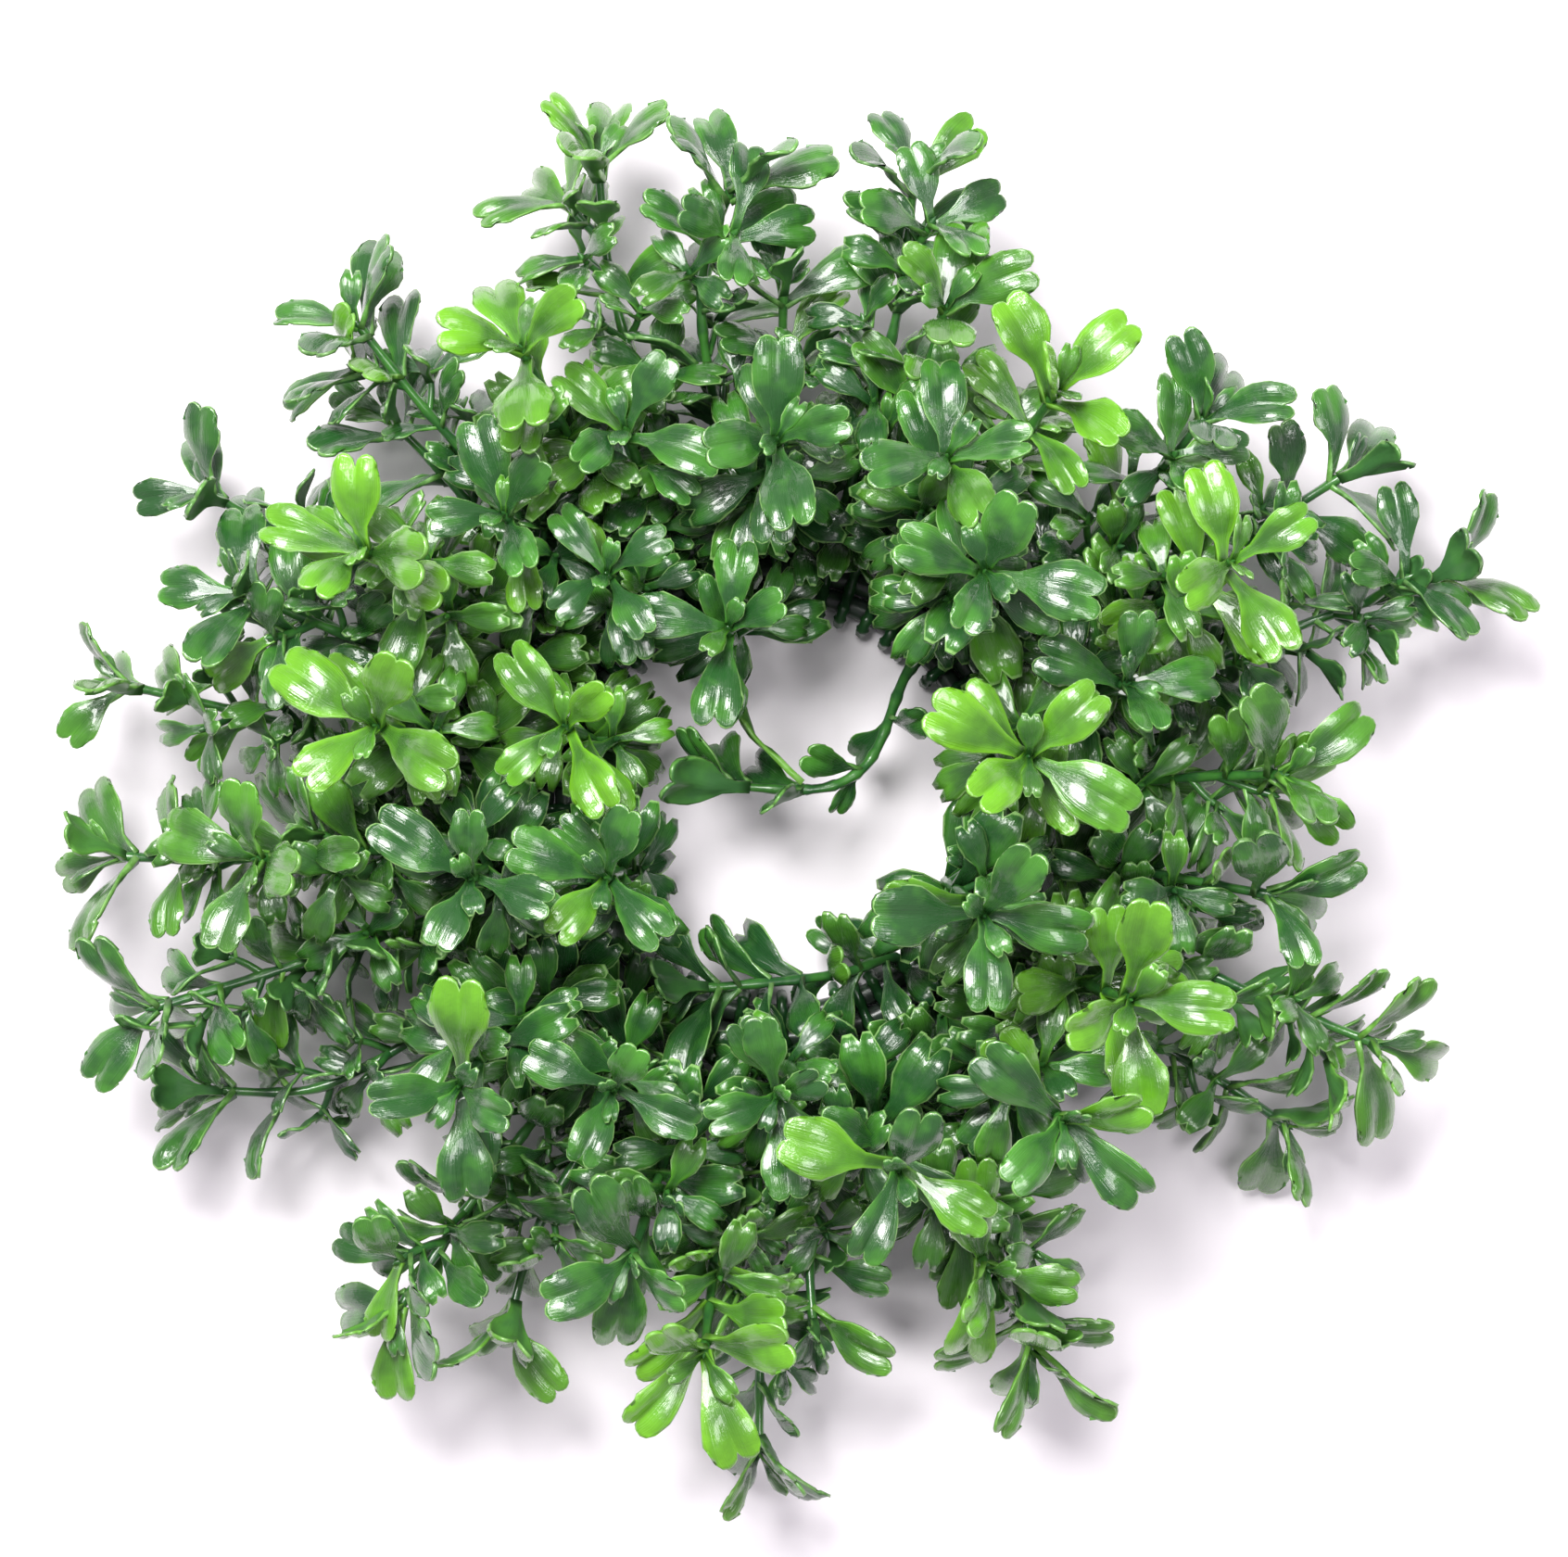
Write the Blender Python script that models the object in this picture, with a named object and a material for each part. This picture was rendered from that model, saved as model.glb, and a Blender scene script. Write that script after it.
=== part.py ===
# Artificial boxwood wreath, lying flat: three coated core strands and the leafy sprays hooked over them.
# Metres, +Z up. The photograph's right is +X and its top is +Y.

import math
import random
from collections import namedtuple
from itertools import product

import bmesh
import bpy
from mathutils import Matrix, Vector
from mathutils.bvhtree import BVHTree

MM = 0.001
UP = Vector((0, 0, 1))

# Core ring: three coated strands side by side, with flat undersides on the table
RING_RADIUS = 40 * MM
STRAND_RADIUS = 2.0 * MM
STRAND_GAP = 0.3 * MM
STRAND_SIDES = 8
RING_STEPS = 24
STRAND_HALF_HEIGHT = STRAND_RADIUS * math.cos(math.pi / STRAND_SIDES)
STRAND_PITCH = 2 * STRAND_HALF_HEIGHT + STRAND_GAP
STRANDS = {"core_strand_inner": -1, "core_strand_middle": 0, "core_strand_outer": 1}

# Stems: a saddle over the strands, then a curve to the spray's tip
STEM_RADIUS = 1.0 * MM
STEM_SIDES = 4
STEM_STEPS = 4
SEAT_GAP = 0.3 * MM
SADDLE_HEIGHT = 2 * STRAND_HALF_HEIGHT + SEAT_GAP + STEM_RADIUS
SADDLE_REACH = STRAND_PITCH + STRAND_RADIUS + SEAT_GAP + STEM_RADIUS
SADDLE_FOOT = 1.4 * MM
SADDLE_CORNER_IN = 1.7 * MM
SADDLE_CORNER_DOWN = 2.1 * MM
SADDLE_EXIT = 0.3 * STRAND_PITCH
LIFT_OFF = math.radians(53)
TIP_PULL = 0.38
BASE_SPACING = math.radians(5.6)
SPREAD_ROUNDS = 400
BUD = 1.8 * MM
UPRIGHT = 0.75

# Twigs: short forks with a whorl of their own
TWIG_RADIUS = 0.85 * MM
TWIG_LENGTH = 11 * MM
TWIG_FORK = math.radians(42)
TWIG_BEND = 0.35
TWIG_PLACE = 15 * MM
TWIG_FLOOR = 4 * MM
TWIG_BUD = 1.4 * MM

# Leaves: a ridged neck that opens into two puffed lobes with a notch between them.
# Places along it and the neck's thickness are shares of its length. Places across it are shares of its half.
LEAF_LENGTH = 20 * MM
LEAF_WIDTH = 9.9 * MM
NECK_HALF_WIDTH = 0.07
NECK_DEPTH = 0.07
ROOT_TAPER = 0.45
NECK_END = 0.31
WIDEST = 0.68
LOBE_TOP = 0.78
LOBE_ACROSS = 0.48
TIP_ACROSS = 0.6
NOTCH = 0.92
PUFF = 0.9 * MM
EDGE_DROP = 0.3 * MM

# Leaf pairs: how far apart they grow, how they vary, and the room they keep
PAIR_STEP = 1.9 * MM
TIER_PITCH = 11 * MM
TIER_SIZES = (1.0, 0.87, 0.79, 0.71, 0.63)
WHORL_SIZES = (0.88, 1.0)
TWIG_LEAF_SIZE = 0.8
SIZE_RANGE = (0.82, 1.03)
WHORL_OPEN = ((22, 50), (42, 66))
LOWER_OPEN = (46, 68)
CURL_RANGE = (16, 54)
TWIST_RANGE = (-18, 18)
ROLL_RANGE = (-15, 15)
FACE_UP_LIMIT = math.radians(64)
FACE_UP_SHARE = (0.15, 1.05)
BACK_UP = math.radians(125)
FLATTER_WHEN_TURNED = 0.4
CLEARANCE = 0.35 * MM
FLOOR_CLEARANCE = 0.8 * MM

# The hole's clear spaces, which no leaf or stem enters: (low corner, high corner) in millimetres
OPENINGS = (
    ((-16.5, -17.5, -5), (13, -2.5, 90)),
    ((-3, 10.5, -5), (12.5, 26.5, 90)),
    ((14, -10.5, -5), (27, 0, 90)),
)

# One row for each spray, read from the photograph in millimetres and degrees from the ring's centre:
# tip is where its end whorl sits, heading and lift are the way its stem points there, and roll turns the
# whorl. tiers counts the leaf pairs below the end whorl, twigs the forks, size scales its leaves, tone is
# its colour, and via lists the points that a winding stem runs through.
DEFAULTS = (1.0, "deep_green", ())
Spray = namedtuple("Spray", "tip heading lift roll tiers twigs size tone via", defaults=DEFAULTS)
SPRAYS = (
    Spray((84, 5, 43), 0, 45, 35, 2, 1, tone="fresh_green"),
    Spray((41, 8, 61), 0, 74, 50, 1, 0, 1.05, tone="lime_green"),
    Spray((58, 20, 48), 20, 65, 80, 1, 0, 0.9),
    Spray((112, 38, 24), 15, 8, 20, 2, 1),
    Spray((75, 40, 54), 30, 65, 30, 2, 0, 1.05, tone="lime_green"),
    Spray((95, 55, 28), 35, 15, 80, 2, 0, 0.95),
    Spray((71, 64, 40), 54, 25, 0, 2, 1),
    Spray((34, 38, 65), 60, 72, 70, 1, 0, 1.1),
    Spray((46, 68, 50), 55, 55, 35, 1, 0, 1.05, tone="lime_green"),
    Spray((28, 57, 61), 80, 68, 15, 1, 0, 1.05),
    Spray((28, 82, 46), 75, 45, 0, 2, 0, tone="fresh_green"),
    Spray((23, 104, 38), 88, 18, 50, 2, 1),
    Spray((1, 86, 30), 85, 35, 70, 1, 0, 0.85),
    Spray((0, 60, 60), 60, 74, 5, 1, 0, 1.05),
    Spray((-8, 29, 43), 100, 70, 0, 1, 0, 0.95),
    Spray((-8, 103, 39), 58, 25, 60, 2, 1),
    Spray((-30, 107, 33), 90, 18, 0, 2, 1, tone="fresh_green"),
    Spray((-25, 62, 46), 112, 65, 60, 1, 0, 0.9),
    Spray((-42, 75, 54), 115, 50, 15, 1, 0, 1.05, tone="lime_green"),
    Spray((-70, 80, 34), 125, 20, 30, 2, 1),
    Spray((-45, 48, 48), 132, 65, 20, 1, 0, 0.9),
    Spray((-28, 38, 46), 126, 70, 30, 1, 0, 0.85),
    Spray((-64, 64, 24), 138, 15, 70, 2, 0, 0.9),
    Spray((-68, 42, 58), 148, 65, 70, 1, 0, 1.1, tone="lime_green"),
    Spray((-95, 52, 24), 150, 12, 20, 2, 0, 0.9),
    Spray((-88, 35, 41), 155, 30, 60, 2, 1),
    Spray((-109, 20, 28), 168, 10, 10, 2, 0, 0.9, tone="fresh_green"),
    Spray((-66, 13, 56), 168, 70, 50, 1, 0, 1.05, tone="lime_green"),
    Spray((-35, 13, 46), 160, 72, 40, 1, 0, 0.9, tone="lime_green"),
    Spray((-110, -9, 26), 172, 10, 60, 2, 0, tone="fresh_green"),
    Spray((-86, -9, 46), 184, 45, 10, 2, 0, tone="fresh_green"),
    Spray((-50, -12, 58), 215, 70, 70, 1, 0, 1.0),
    Spray((-28, -12, 50), 200, 75, 60, 1, 0, 0.95),
    Spray((-104, -34, 34), 196, 15, 30, 2, 1),
    Spray((-94, -49, 18), 165, 5, 70, 2, 0, 0.95),
    Spray((-52, -46, 60), 235, 68, 5, 1, 0, 1.1),
    Spray((-63, -84, 32), 238, 15, 40, 2, 1),
    Spray((-27, -47, 48), 238, 70, 60, 1, 0, 0.9),
    Spray((-24, -75, 50), 250, 58, 5, 1, 0, 1.05),
    Spray((-12, -91, 45), 262, 58, 60, 2, 0, 1.15, tone="lime_green"),
    Spray((-3, -109, 20), 268, 5, 20, 2, 0, 0.9),
    Spray((0, -48, 50), 270, 75, 20, 1, 0, 0.9),
    Spray((6, -87, 24), 276, 20, 80, 1, 0, 0.85),
    Spray((20, -60, 56), 290, 70, 65, 1, 0, 1.05),
    Spray((43, -91, 32), 276, 22, 5, 2, 1, 1.05, tone="fresh_green"),
    Spray((35, -77, 41), 300, 52, 20, 1, 0, 1.05, tone="fresh_green"),
    Spray((47, -52, 56), 312, 70, 40, 2, 0, 1.1),
    Spray((58, -32, 60), 345, 70, 5, 2, 0, 1.1, tone="lime_green"),
    Spray((86, -54, 16), 322, 3, 40, 2, 0, 0.95, tone="fresh_green"),
    Spray((100, -40, 30), 340, 10, 70, 2, 1, tone="fresh_green"),
    Spray((34, -18, 63), 300, 75, 80, 1, 0, 1.1),
    Spray((82, -15, 38), 350, 18, 20, 1, 0),
    Spray((-45, -86, 26), 262, 10, 10, 2, 0, 1.0, tone="fresh_green"),
)
SPRIG_ACROSS_HOLE = Spray(
    (-7, 3, 25), 172, 5, 20, 3, 0, 0.95, "deep_green",
    ((22, 22, 13), (18.5, 13, 19), (15, 6.5, 22), (9, 3, 24), (1, 2.5, 25)),
)
SPRAY_ALONG_HOLE = Spray(
    (-12, -31, 22), 182, 10, 70, 4, 0, 0.95, "deep_green",
    ((20, -26, 9), (12, -28.5, 14), (0, -30, 19)),
)
BY_THE_HOLE = {"sprig_across_hole": SPRIG_ACROSS_HOLE, "spray_along_hole": SPRAY_ALONG_HOLE}

# Turns tried for a leaf that would cross another piece: (round its stem, further open), in degrees
TURNS = (
    (0, 0), (9, 0), (-9, 0), (0, -10), (0, 10), (16, -8), (-16, -8), (16, 8), (-16, 8),
    (25, 0), (-25, 0), (0, -20), (34, -10), (-34, -10),
)
# Sizes tried for such a leaf, and how far a stem swings out on its way, as shares of its reach
SHRINKS = (1.0, 0.86, 0.72)
BULGES = (0.4, 0.5, 0.3, 0.6, 0.22, 0.7)

Stem = namedtuple("Stem", "points across radius")
Leaf = namedtuple("Leaf", "root axis out length width open curl twist")
Obstacle = namedtuple("Obstacle", "node low high tree")

TONES = {
    "deep_green": (0.035, 0.14, 0.045, 1),
    "fresh_green": (0.07, 0.24, 0.05, 1),
    "lime_green": (0.15, 0.4, 0.05, 1),
}
STRAND_GREEN = (0.03, 0.045, 0.035, 1)


# Leaf shape

def leaf_frame(leaf, share):
    """Centre, sideways direction and upper normal at a share of the leaf's length. The leaf curls open."""
    start = leaf.open
    angle = start + leaf.curl * share
    forward = math.cos(angle) * leaf.axis + math.sin(angle) * leaf.out
    normal = math.sin(angle) * leaf.axis - math.cos(angle) * leaf.out
    along = (math.sin(angle) - math.sin(start)) * leaf.axis + (math.cos(start) - math.cos(angle)) * leaf.out
    side = forward.cross(normal)
    turned = Matrix.Rotation(leaf.twist * min(share / NECK_END, 1), 3, forward)
    return leaf.root + along * (leaf.length / leaf.curl), turned @ side, turned @ normal


def leaf_mesh(leaf, swell=0.0):
    """Corners and faces of a leaf: a straight three-sided neck, then two puffed lobes with a notch between.
    swell makes it thicker and wider all round, to test the room it needs."""
    def corner(share, across, height):
        centre, side, normal = leaf_frame(leaf, share)
        return centre + side * across + normal * height

    half = leaf.width / 2 + swell
    neck = NECK_HALF_WIDTH * leaf.length + swell
    depth = NECK_DEPTH * leaf.length + swell
    tip = 1.0 + swell / leaf.length
    neck_ring = [
        corner(NECK_END, -neck, 0),
        corner(NECK_END, neck, 0),
        corner(NECK_END, 0, -depth),
    ]
    neck_centre = leaf_frame(leaf, NECK_END)[0]
    points = [
        *(leaf.root + (point - neck_centre) * ROOT_TAPER for point in neck_ring),
        *neck_ring,
        corner(WIDEST, -half, -EDGE_DROP),
        corner(WIDEST, half, -EDGE_DROP),
        corner(tip, -TIP_ACROSS * half, -EDGE_DROP),
        corner(tip, TIP_ACROSS * half, -EDGE_DROP),
        corner(NOTCH, 0, 0),
        corner(LOBE_TOP, -LOBE_ACROSS * half, PUFF + swell),
        corner(LOBE_TOP, LOBE_ACROSS * half, PUFF + swell),
    ]
    return points, LEAF_FACES


def leaf_faces():
    """Triangles over the corners that leaf_mesh lists. The first seven belong to the neck."""
    root_l, root_r, root_b, neck_l, neck_r, neck_b = range(6)
    wide_l, wide_r, tip_l, tip_r, notch, lobe_l, lobe_r = range(6, 13)
    neck = [
        (root_l, root_b, root_r),
        (root_l, root_r, neck_r), (root_l, neck_r, neck_l),
        (root_r, root_b, neck_b), (root_r, neck_b, neck_r),
        (root_b, root_l, neck_l), (root_b, neck_l, neck_b),
    ]
    upper = [
        (neck_l, neck_r, notch),
        (neck_l, notch, lobe_l), (neck_l, lobe_l, wide_l), (wide_l, lobe_l, tip_l), (tip_l, lobe_l, notch),
        (neck_r, lobe_r, notch), (neck_r, wide_r, lobe_r), (wide_r, tip_r, lobe_r), (tip_r, notch, lobe_r),
    ]
    lower = [
        (neck_l, wide_l, neck_b), (wide_l, tip_l, neck_b), (tip_l, notch, neck_b),
        (notch, tip_r, neck_b), (tip_r, wide_r, neck_b), (wide_r, neck_r, neck_b),
    ]
    return neck + upper + lower


LEAF_FACES = leaf_faces()
BLADE_FACES = LEAF_FACES[7:]


# Stem shape

def bezier(start, lead, trail, end, share):
    rest = 1 - share
    return rest**3 * start + 3 * rest**2 * share * lead + 3 * rest * share**2 * trail + share**3 * end


def smooth_point(points, place):
    """A point on the curve through all of points, at a place counted in points from the first."""
    index = min(int(place), len(points) - 2)
    share = place - index
    first, second = points[index], points[index + 1]
    before = points[index - 1] if index else 2 * first - second
    after = points[index + 2] if index + 2 < len(points) else 2 * second - first
    return bezier(first, first + (second - before) / 6, second - (after - first) / 6, second, share)


def segment_frames(stem):
    """Directions ahead and across for each straight length of a stem, with the least turn at each joint."""
    points = stem.points
    ahead = [(points[at + 1] - points[at]).normalized() for at in range(len(points) - 1)]
    across = [stem.across] * len(ahead)
    for at in reversed(range(len(ahead) - 1)):
        across[at] = ahead[at + 1].rotation_difference(ahead[at]) @ across[at + 1]
    return ahead, across


def tube(stem, swell=0.0):
    """A closed four-sided tube with mitred joints. Its flats face across the stem, where leaves grow."""
    ahead, across = segment_frames(stem)
    radius = stem.radius + swell
    corners = []
    for index, point in enumerate(stem.points):
        after = min(index, len(ahead) - 1)
        mitre = ahead[max(index - 1, 0)] + ahead[after]
        other = ahead[after].cross(across[after])
        for step in range(STEM_SIDES):
            turn = math.tau * (step + 0.5) / STEM_SIDES
            away = radius * (math.cos(turn) * across[after] + math.sin(turn) * other)
            corners.append(point + away - ahead[after] * (away.dot(mitre) / ahead[after].dot(mitre)))
    faces = [tuple(reversed(range(STEM_SIDES)))]
    for index in range(len(stem.points) - 1):
        for step in range(STEM_SIDES):
            near = index * STEM_SIDES + step
            beside = index * STEM_SIDES + (step + 1) % STEM_SIDES
            faces.append((near, beside, beside + STEM_SIDES, near + STEM_SIDES))
    faces.append(tuple(len(corners) - STEM_SIDES + step for step in range(STEM_SIDES)))
    return corners, faces


def ring_tube(radius, height):
    """A closed ring of STRAND_SIDES sides with one side flat underneath."""
    corners = []
    faces = []
    total = RING_STEPS * STRAND_SIDES
    for step in range(RING_STEPS):
        turn = math.tau * step / RING_STEPS
        away = Vector((math.cos(turn), math.sin(turn), 0))
        for side in range(STRAND_SIDES):
            angle = math.tau * (side + 0.5) / STRAND_SIDES
            reach = radius + STRAND_RADIUS * math.cos(angle)
            corners.append(away * reach + UP * (height + STRAND_RADIUS * math.sin(angle)))
            near = step * STRAND_SIDES + side
            beside = step * STRAND_SIDES + (side + 1) % STRAND_SIDES
            faces.append((near, (near + STRAND_SIDES) % total, (beside + STRAND_SIDES) % total, beside))
    return corners, faces


def on_ring(turn, reach, height):
    """A point at an angle round the ring, a reach outwards from the strands' middle, and a height."""
    return Vector((math.cos(turn), math.sin(turn), 0)) * (RING_RADIUS + reach) + UP * height


def heading_of(spray):
    turn = math.radians(spray.heading)
    lift = math.radians(spray.lift)
    return Vector((math.cos(turn) * math.cos(lift), math.sin(turn) * math.cos(lift), math.sin(lift)))


def stem_points(spray, base, bulge):
    """The saddle over the strands, then a curve to the bud past the tip. bulge is how far it swings out."""
    heading = heading_of(spray)
    end = Vector(spray.tip) * MM + heading * BUD
    inward = -1 if end.xy.length < RING_RADIUS else 1
    saddle = [
        on_ring(base, -inward * SADDLE_REACH, SADDLE_FOOT),
        on_ring(base, -inward * SADDLE_REACH, SADDLE_HEIGHT - SADDLE_CORNER_DOWN),
        on_ring(base, -inward * (SADDLE_REACH - SADDLE_CORNER_IN), SADDLE_HEIGHT),
        on_ring(base, inward * SADDLE_EXIT, SADDLE_HEIGHT),
    ]
    start = saddle[-1]
    if spray.via:
        through = [start, *(Vector(point) * MM for point in spray.via), end]
        count = 2 * (len(through) - 1)
        return saddle + [smooth_point(through, (step + 1) / 2) for step in range(count)]
    away = Vector((math.cos(base), math.sin(base), 0)) * inward
    far = (end - start).length
    lead = start + (away * math.cos(LIFT_OFF) + UP * math.sin(LIFT_OFF)) * far * bulge
    trail = end - heading * far * TIP_PULL
    return saddle + [bezier(start, lead, trail, end, (step + 1) / STEM_STEPS) for step in range(STEM_STEPS)]


def make_stem(spray, base, bulge):
    points = stem_points(spray, base, bulge)
    ahead = (points[-1] - points[-2]).normalized()
    return Stem(points, rolled(ahead, math.radians(spray.roll)), STEM_RADIUS)


def rolled(ahead, roll):
    """A direction across a stem. On an upright stem, roll is its angle from +X as seen from above."""
    flat = Vector((math.cos(roll), math.sin(roll), 0))
    if abs(ahead.z) < UPRIGHT:
        side = ahead.cross(UP).normalized()
        flat = math.cos(roll) * side + math.sin(roll) * side.cross(ahead)
    return (flat - ahead * flat.dot(ahead)).normalized()


def at_distance(stem, back):
    """The point on a stem at a distance back from its end, with the directions ahead and across there."""
    ahead, across = segment_frames(stem)
    for at in reversed(range(len(ahead))):
        reach = (stem.points[at + 1] - stem.points[at]).length
        if back <= reach or at == 0:
            return stem.points[at + 1] - ahead[at] * back, ahead[at], across[at]
        back -= reach


# Room for each piece

def box_mesh(low, high):
    corners = [Vector(corner) for corner in product(*zip(low, high))]
    faces = [(0, 1, 3, 2), (4, 6, 7, 5), (0, 4, 5, 1), (2, 3, 7, 6), (0, 2, 6, 4), (1, 5, 7, 3)]
    return corners, faces


def obstacle(node, points, faces):
    low = [min(point[axis] for point in points) for axis in range(3)]
    high = [max(point[axis] for point in points) for axis in range(3)]
    return Obstacle(node, low, high, BVHTree.FromPolygons(points, faces))


def meets(first, second):
    for axis in range(3):
        if first.low[axis] > second.high[axis] or second.low[axis] > first.high[axis]:
            return False
    return bool(first.tree.overlap(second.tree))


def inside_opening(points):
    for low, high in OPENINGS:
        for point in points:
            if all(low[axis] * MM < point[axis] < high[axis] * MM for axis in range(3)):
                return True
    return False


def is_clear(test, others):
    return not any(meets(test, other) for other in others)


# Planning: every stem first, then the leaves from the tips down

def spread_bases(sprays):
    """Base angles in the order of the tips' own angles, pushed apart until the saddles have room."""
    def own_angle(spray):
        first = spray.via[0] if spray.via else spray.tip
        return math.atan2(first[1], first[0]) % math.tau

    names = sorted(sprays, key=lambda name: own_angle(sprays[name]))
    angles = [own_angle(sprays[name]) for name in names]
    count = len(angles)
    for _ in range(SPREAD_ROUNDS):
        for index in range(count):
            after = (index + 1) % count
            gap = (angles[after] - angles[index]) % math.tau
            if gap > math.pi:
                gap -= math.tau
            if gap < BASE_SPACING:
                push = (BASE_SPACING - gap) / 2
                angles[index] -= push
                angles[after] += push
    return dict(zip(names, angles))


def plan_stems(sprays, strands):
    """The stem of each spray. One that would cross an earlier stem swings its curve another way."""
    bases = spread_bases(sprays)
    placed = []
    stems = {}
    for name, spray in sprays.items():
        for bulge in BULGES:
            stem = make_stem(spray, bases[name], bulge)
            if is_clear(obstacle(name, *tube(stem, CLEARANCE)), placed):
                break
        else:
            print(f"{name}: the stem still crosses another")
        stems[name] = stem
        placed.append(obstacle(name, *tube(stem)))
    return stems, placed + strands


def plan_twigs(name, spray, stem, rng, obstacles):
    """Short forks below the end whorl, each out of a flat side of the stem."""
    twigs = []
    for index in range(spray.twigs):
        point, ahead, across = at_distance(stem, TWIG_PLACE + index * TIER_PITCH)
        sides = [0, 1, 2, 3]
        rng.shuffle(sides)
        for side in sides:
            away = Matrix.Rotation(side * math.pi / 2, 3, ahead) @ across
            toward = math.cos(TWIG_FORK) * ahead + math.sin(TWIG_FORK) * away
            bent = (toward + ahead * TWIG_BEND).normalized()
            middle = point + toward * TWIG_LENGTH / 2
            points = [point, middle, middle + bent * TWIG_LENGTH / 2]
            twig = Stem(points, rolled(bent, math.radians(spray.roll)), TWIG_RADIUS)
            others = [other for other in obstacles if other.node != name]
            if middle.z < TWIG_FLOOR or inside_opening(points):
                continue
            if is_clear(obstacle(name, *tube(twig, CLEARANCE)), others):
                twigs.append(twig)
                obstacles.append(obstacle(name, *tube(twig)))
                break
    return twigs


def leaf_pairs(spray, stem, twigs):
    """Where leaf pairs grow, as (tier, point, ahead, across, size, open range). The end whorl comes first."""
    pairs = []
    for crossed in range(2):
        point, ahead, across = at_distance(stem, BUD + crossed * PAIR_STEP)
        turned = quarter_turn(ahead, across, crossed)
        pairs.append((0, point, ahead, turned, WHORL_SIZES[crossed], WHORL_OPEN[crossed]))
    for twig in twigs:
        for crossed in range(2):
            point, ahead, across = at_distance(twig, TWIG_BUD + crossed * PAIR_STEP)
            turned = quarter_turn(ahead, across, crossed)
            pairs.append((1, point, ahead, turned, TWIG_LEAF_SIZE, LOWER_OPEN))
    for tier in range(1, spray.tiers + 1):
        point, ahead, across = at_distance(stem, BUD + tier * TIER_PITCH)
        turned = quarter_turn(ahead, across, tier)
        pairs.append((tier, point, ahead, turned, TIER_SIZES[tier], LOWER_OPEN))
    return pairs


def quarter_turn(ahead, across, turns):
    return Matrix.Rotation(turns * math.pi / 2, 3, ahead) @ across


def turn_to_light(ahead, out, opened, curl):
    """How far a leaf twists about its own length to face upwards. One that shows its back stays so."""
    angle = opened + curl * WIDEST
    forward = math.cos(angle) * ahead + math.sin(angle) * out
    normal = math.sin(angle) * ahead - math.cos(angle) * out
    turn = math.atan2(forward.cross(normal).z, normal.z)
    if abs(turn) > BACK_UP:
        return 0.0
    return max(-FACE_UP_LIMIT, min(FACE_UP_LIMIT, turn))


def grow_leaf(name, pair, opposite, spray, rng, obstacles, own):
    """The first of the turned and shrunk leaves that clears every other piece, or None."""
    _, point, ahead, across, share, open_range = pair
    size = spray.size * share * rng.uniform(*SIZE_RANGE)
    roll = math.pi * opposite + math.radians(rng.uniform(*ROLL_RANGE))
    opened = math.radians(rng.uniform(*open_range))
    curl = math.radians(rng.uniform(*CURL_RANGE))
    to_light = turn_to_light(ahead, Matrix.Rotation(roll, 3, ahead) @ across, opened, curl)
    twist = math.radians(rng.uniform(*TWIST_RANGE)) + to_light * rng.uniform(*FACE_UP_SHARE)
    curl *= 1 - FLATTER_WHEN_TURNED * abs(to_light) / FACE_UP_LIMIT
    for shrink in SHRINKS:
        for turn, further in TURNS:
            out = Matrix.Rotation(roll + math.radians(turn), 3, ahead) @ across
            leaf = Leaf(
                point, ahead, out, LEAF_LENGTH * size * shrink, LEAF_WIDTH * size * shrink,
                opened + math.radians(further), curl, twist,
            )
            fat_points, _ = leaf_mesh(leaf, CLEARANCE)
            if min(corner.z for corner in fat_points) < FLOOR_CLEARANCE or inside_opening(fat_points):
                continue
            whole = obstacle(name, fat_points, LEAF_FACES)
            if not is_clear(whole, [other for other in obstacles if other.node != name]):
                continue
            if is_clear(obstacle(name, fat_points, BLADE_FACES), own[name]):
                return leaf
    return None


def all_sprays():
    """Every spray by its node's name."""
    return {f"spray_{number:02d}": spray for number, spray in enumerate(SPRAYS, 1)} | BY_THE_HOLE


def plan_wreath(sprays):
    """Stems, twigs and leaves of every spray, by its name. Leaves at the tips choose their places first."""
    strands = [
        obstacle(name, *ring_tube(RING_RADIUS + place * STRAND_PITCH, STRAND_HALF_HEIGHT))
        for name, place in STRANDS.items()
    ]
    stems, obstacles = plan_stems(sprays, strands)
    for low, high in OPENINGS:
        obstacles.append(obstacle("opening", *box_mesh(Vector(low) * MM, Vector(high) * MM)))
    draws = {name: random.Random(name) for name in sprays}
    twigs = {}
    pairs = {}
    own = {}
    for name, spray in sprays.items():
        twigs[name] = plan_twigs(name, spray, stems[name], draws[name], obstacles)
        pairs[name] = leaf_pairs(spray, stems[name], twigs[name])
        own[name] = [piece for piece in obstacles if piece.node == name]
    leaves = {name: [] for name in sprays}
    dropped = 0
    for tier in range(len(TIER_SIZES)):
        for name, spray in sprays.items():
            for pair in pairs[name]:
                if pair[0] != tier:
                    continue
                for opposite in range(2):
                    leaf = grow_leaf(name, pair, opposite, spray, draws[name], obstacles, own)
                    if leaf is None:
                        dropped += 1
                        continue
                    points, faces = leaf_mesh(leaf)
                    leaves[name].append(leaf)
                    own[name].append(obstacle(name, points, BLADE_FACES))
                    obstacles.append(obstacle(name, points, faces))
    print(sum(map(len, leaves.values())), "leaves placed,", dropped, "left out for want of room")
    return stems, twigs, leaves


# Solids

def material(name, colour, roughness):
    made = bpy.data.materials.new(name)
    made.use_nodes = True
    shader = made.node_tree.nodes["Principled BSDF"]
    shader.inputs["Base Color"].default_value = colour
    shader.inputs["Roughness"].default_value = roughness
    shader.inputs["Metallic"].default_value = 0
    return made


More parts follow.
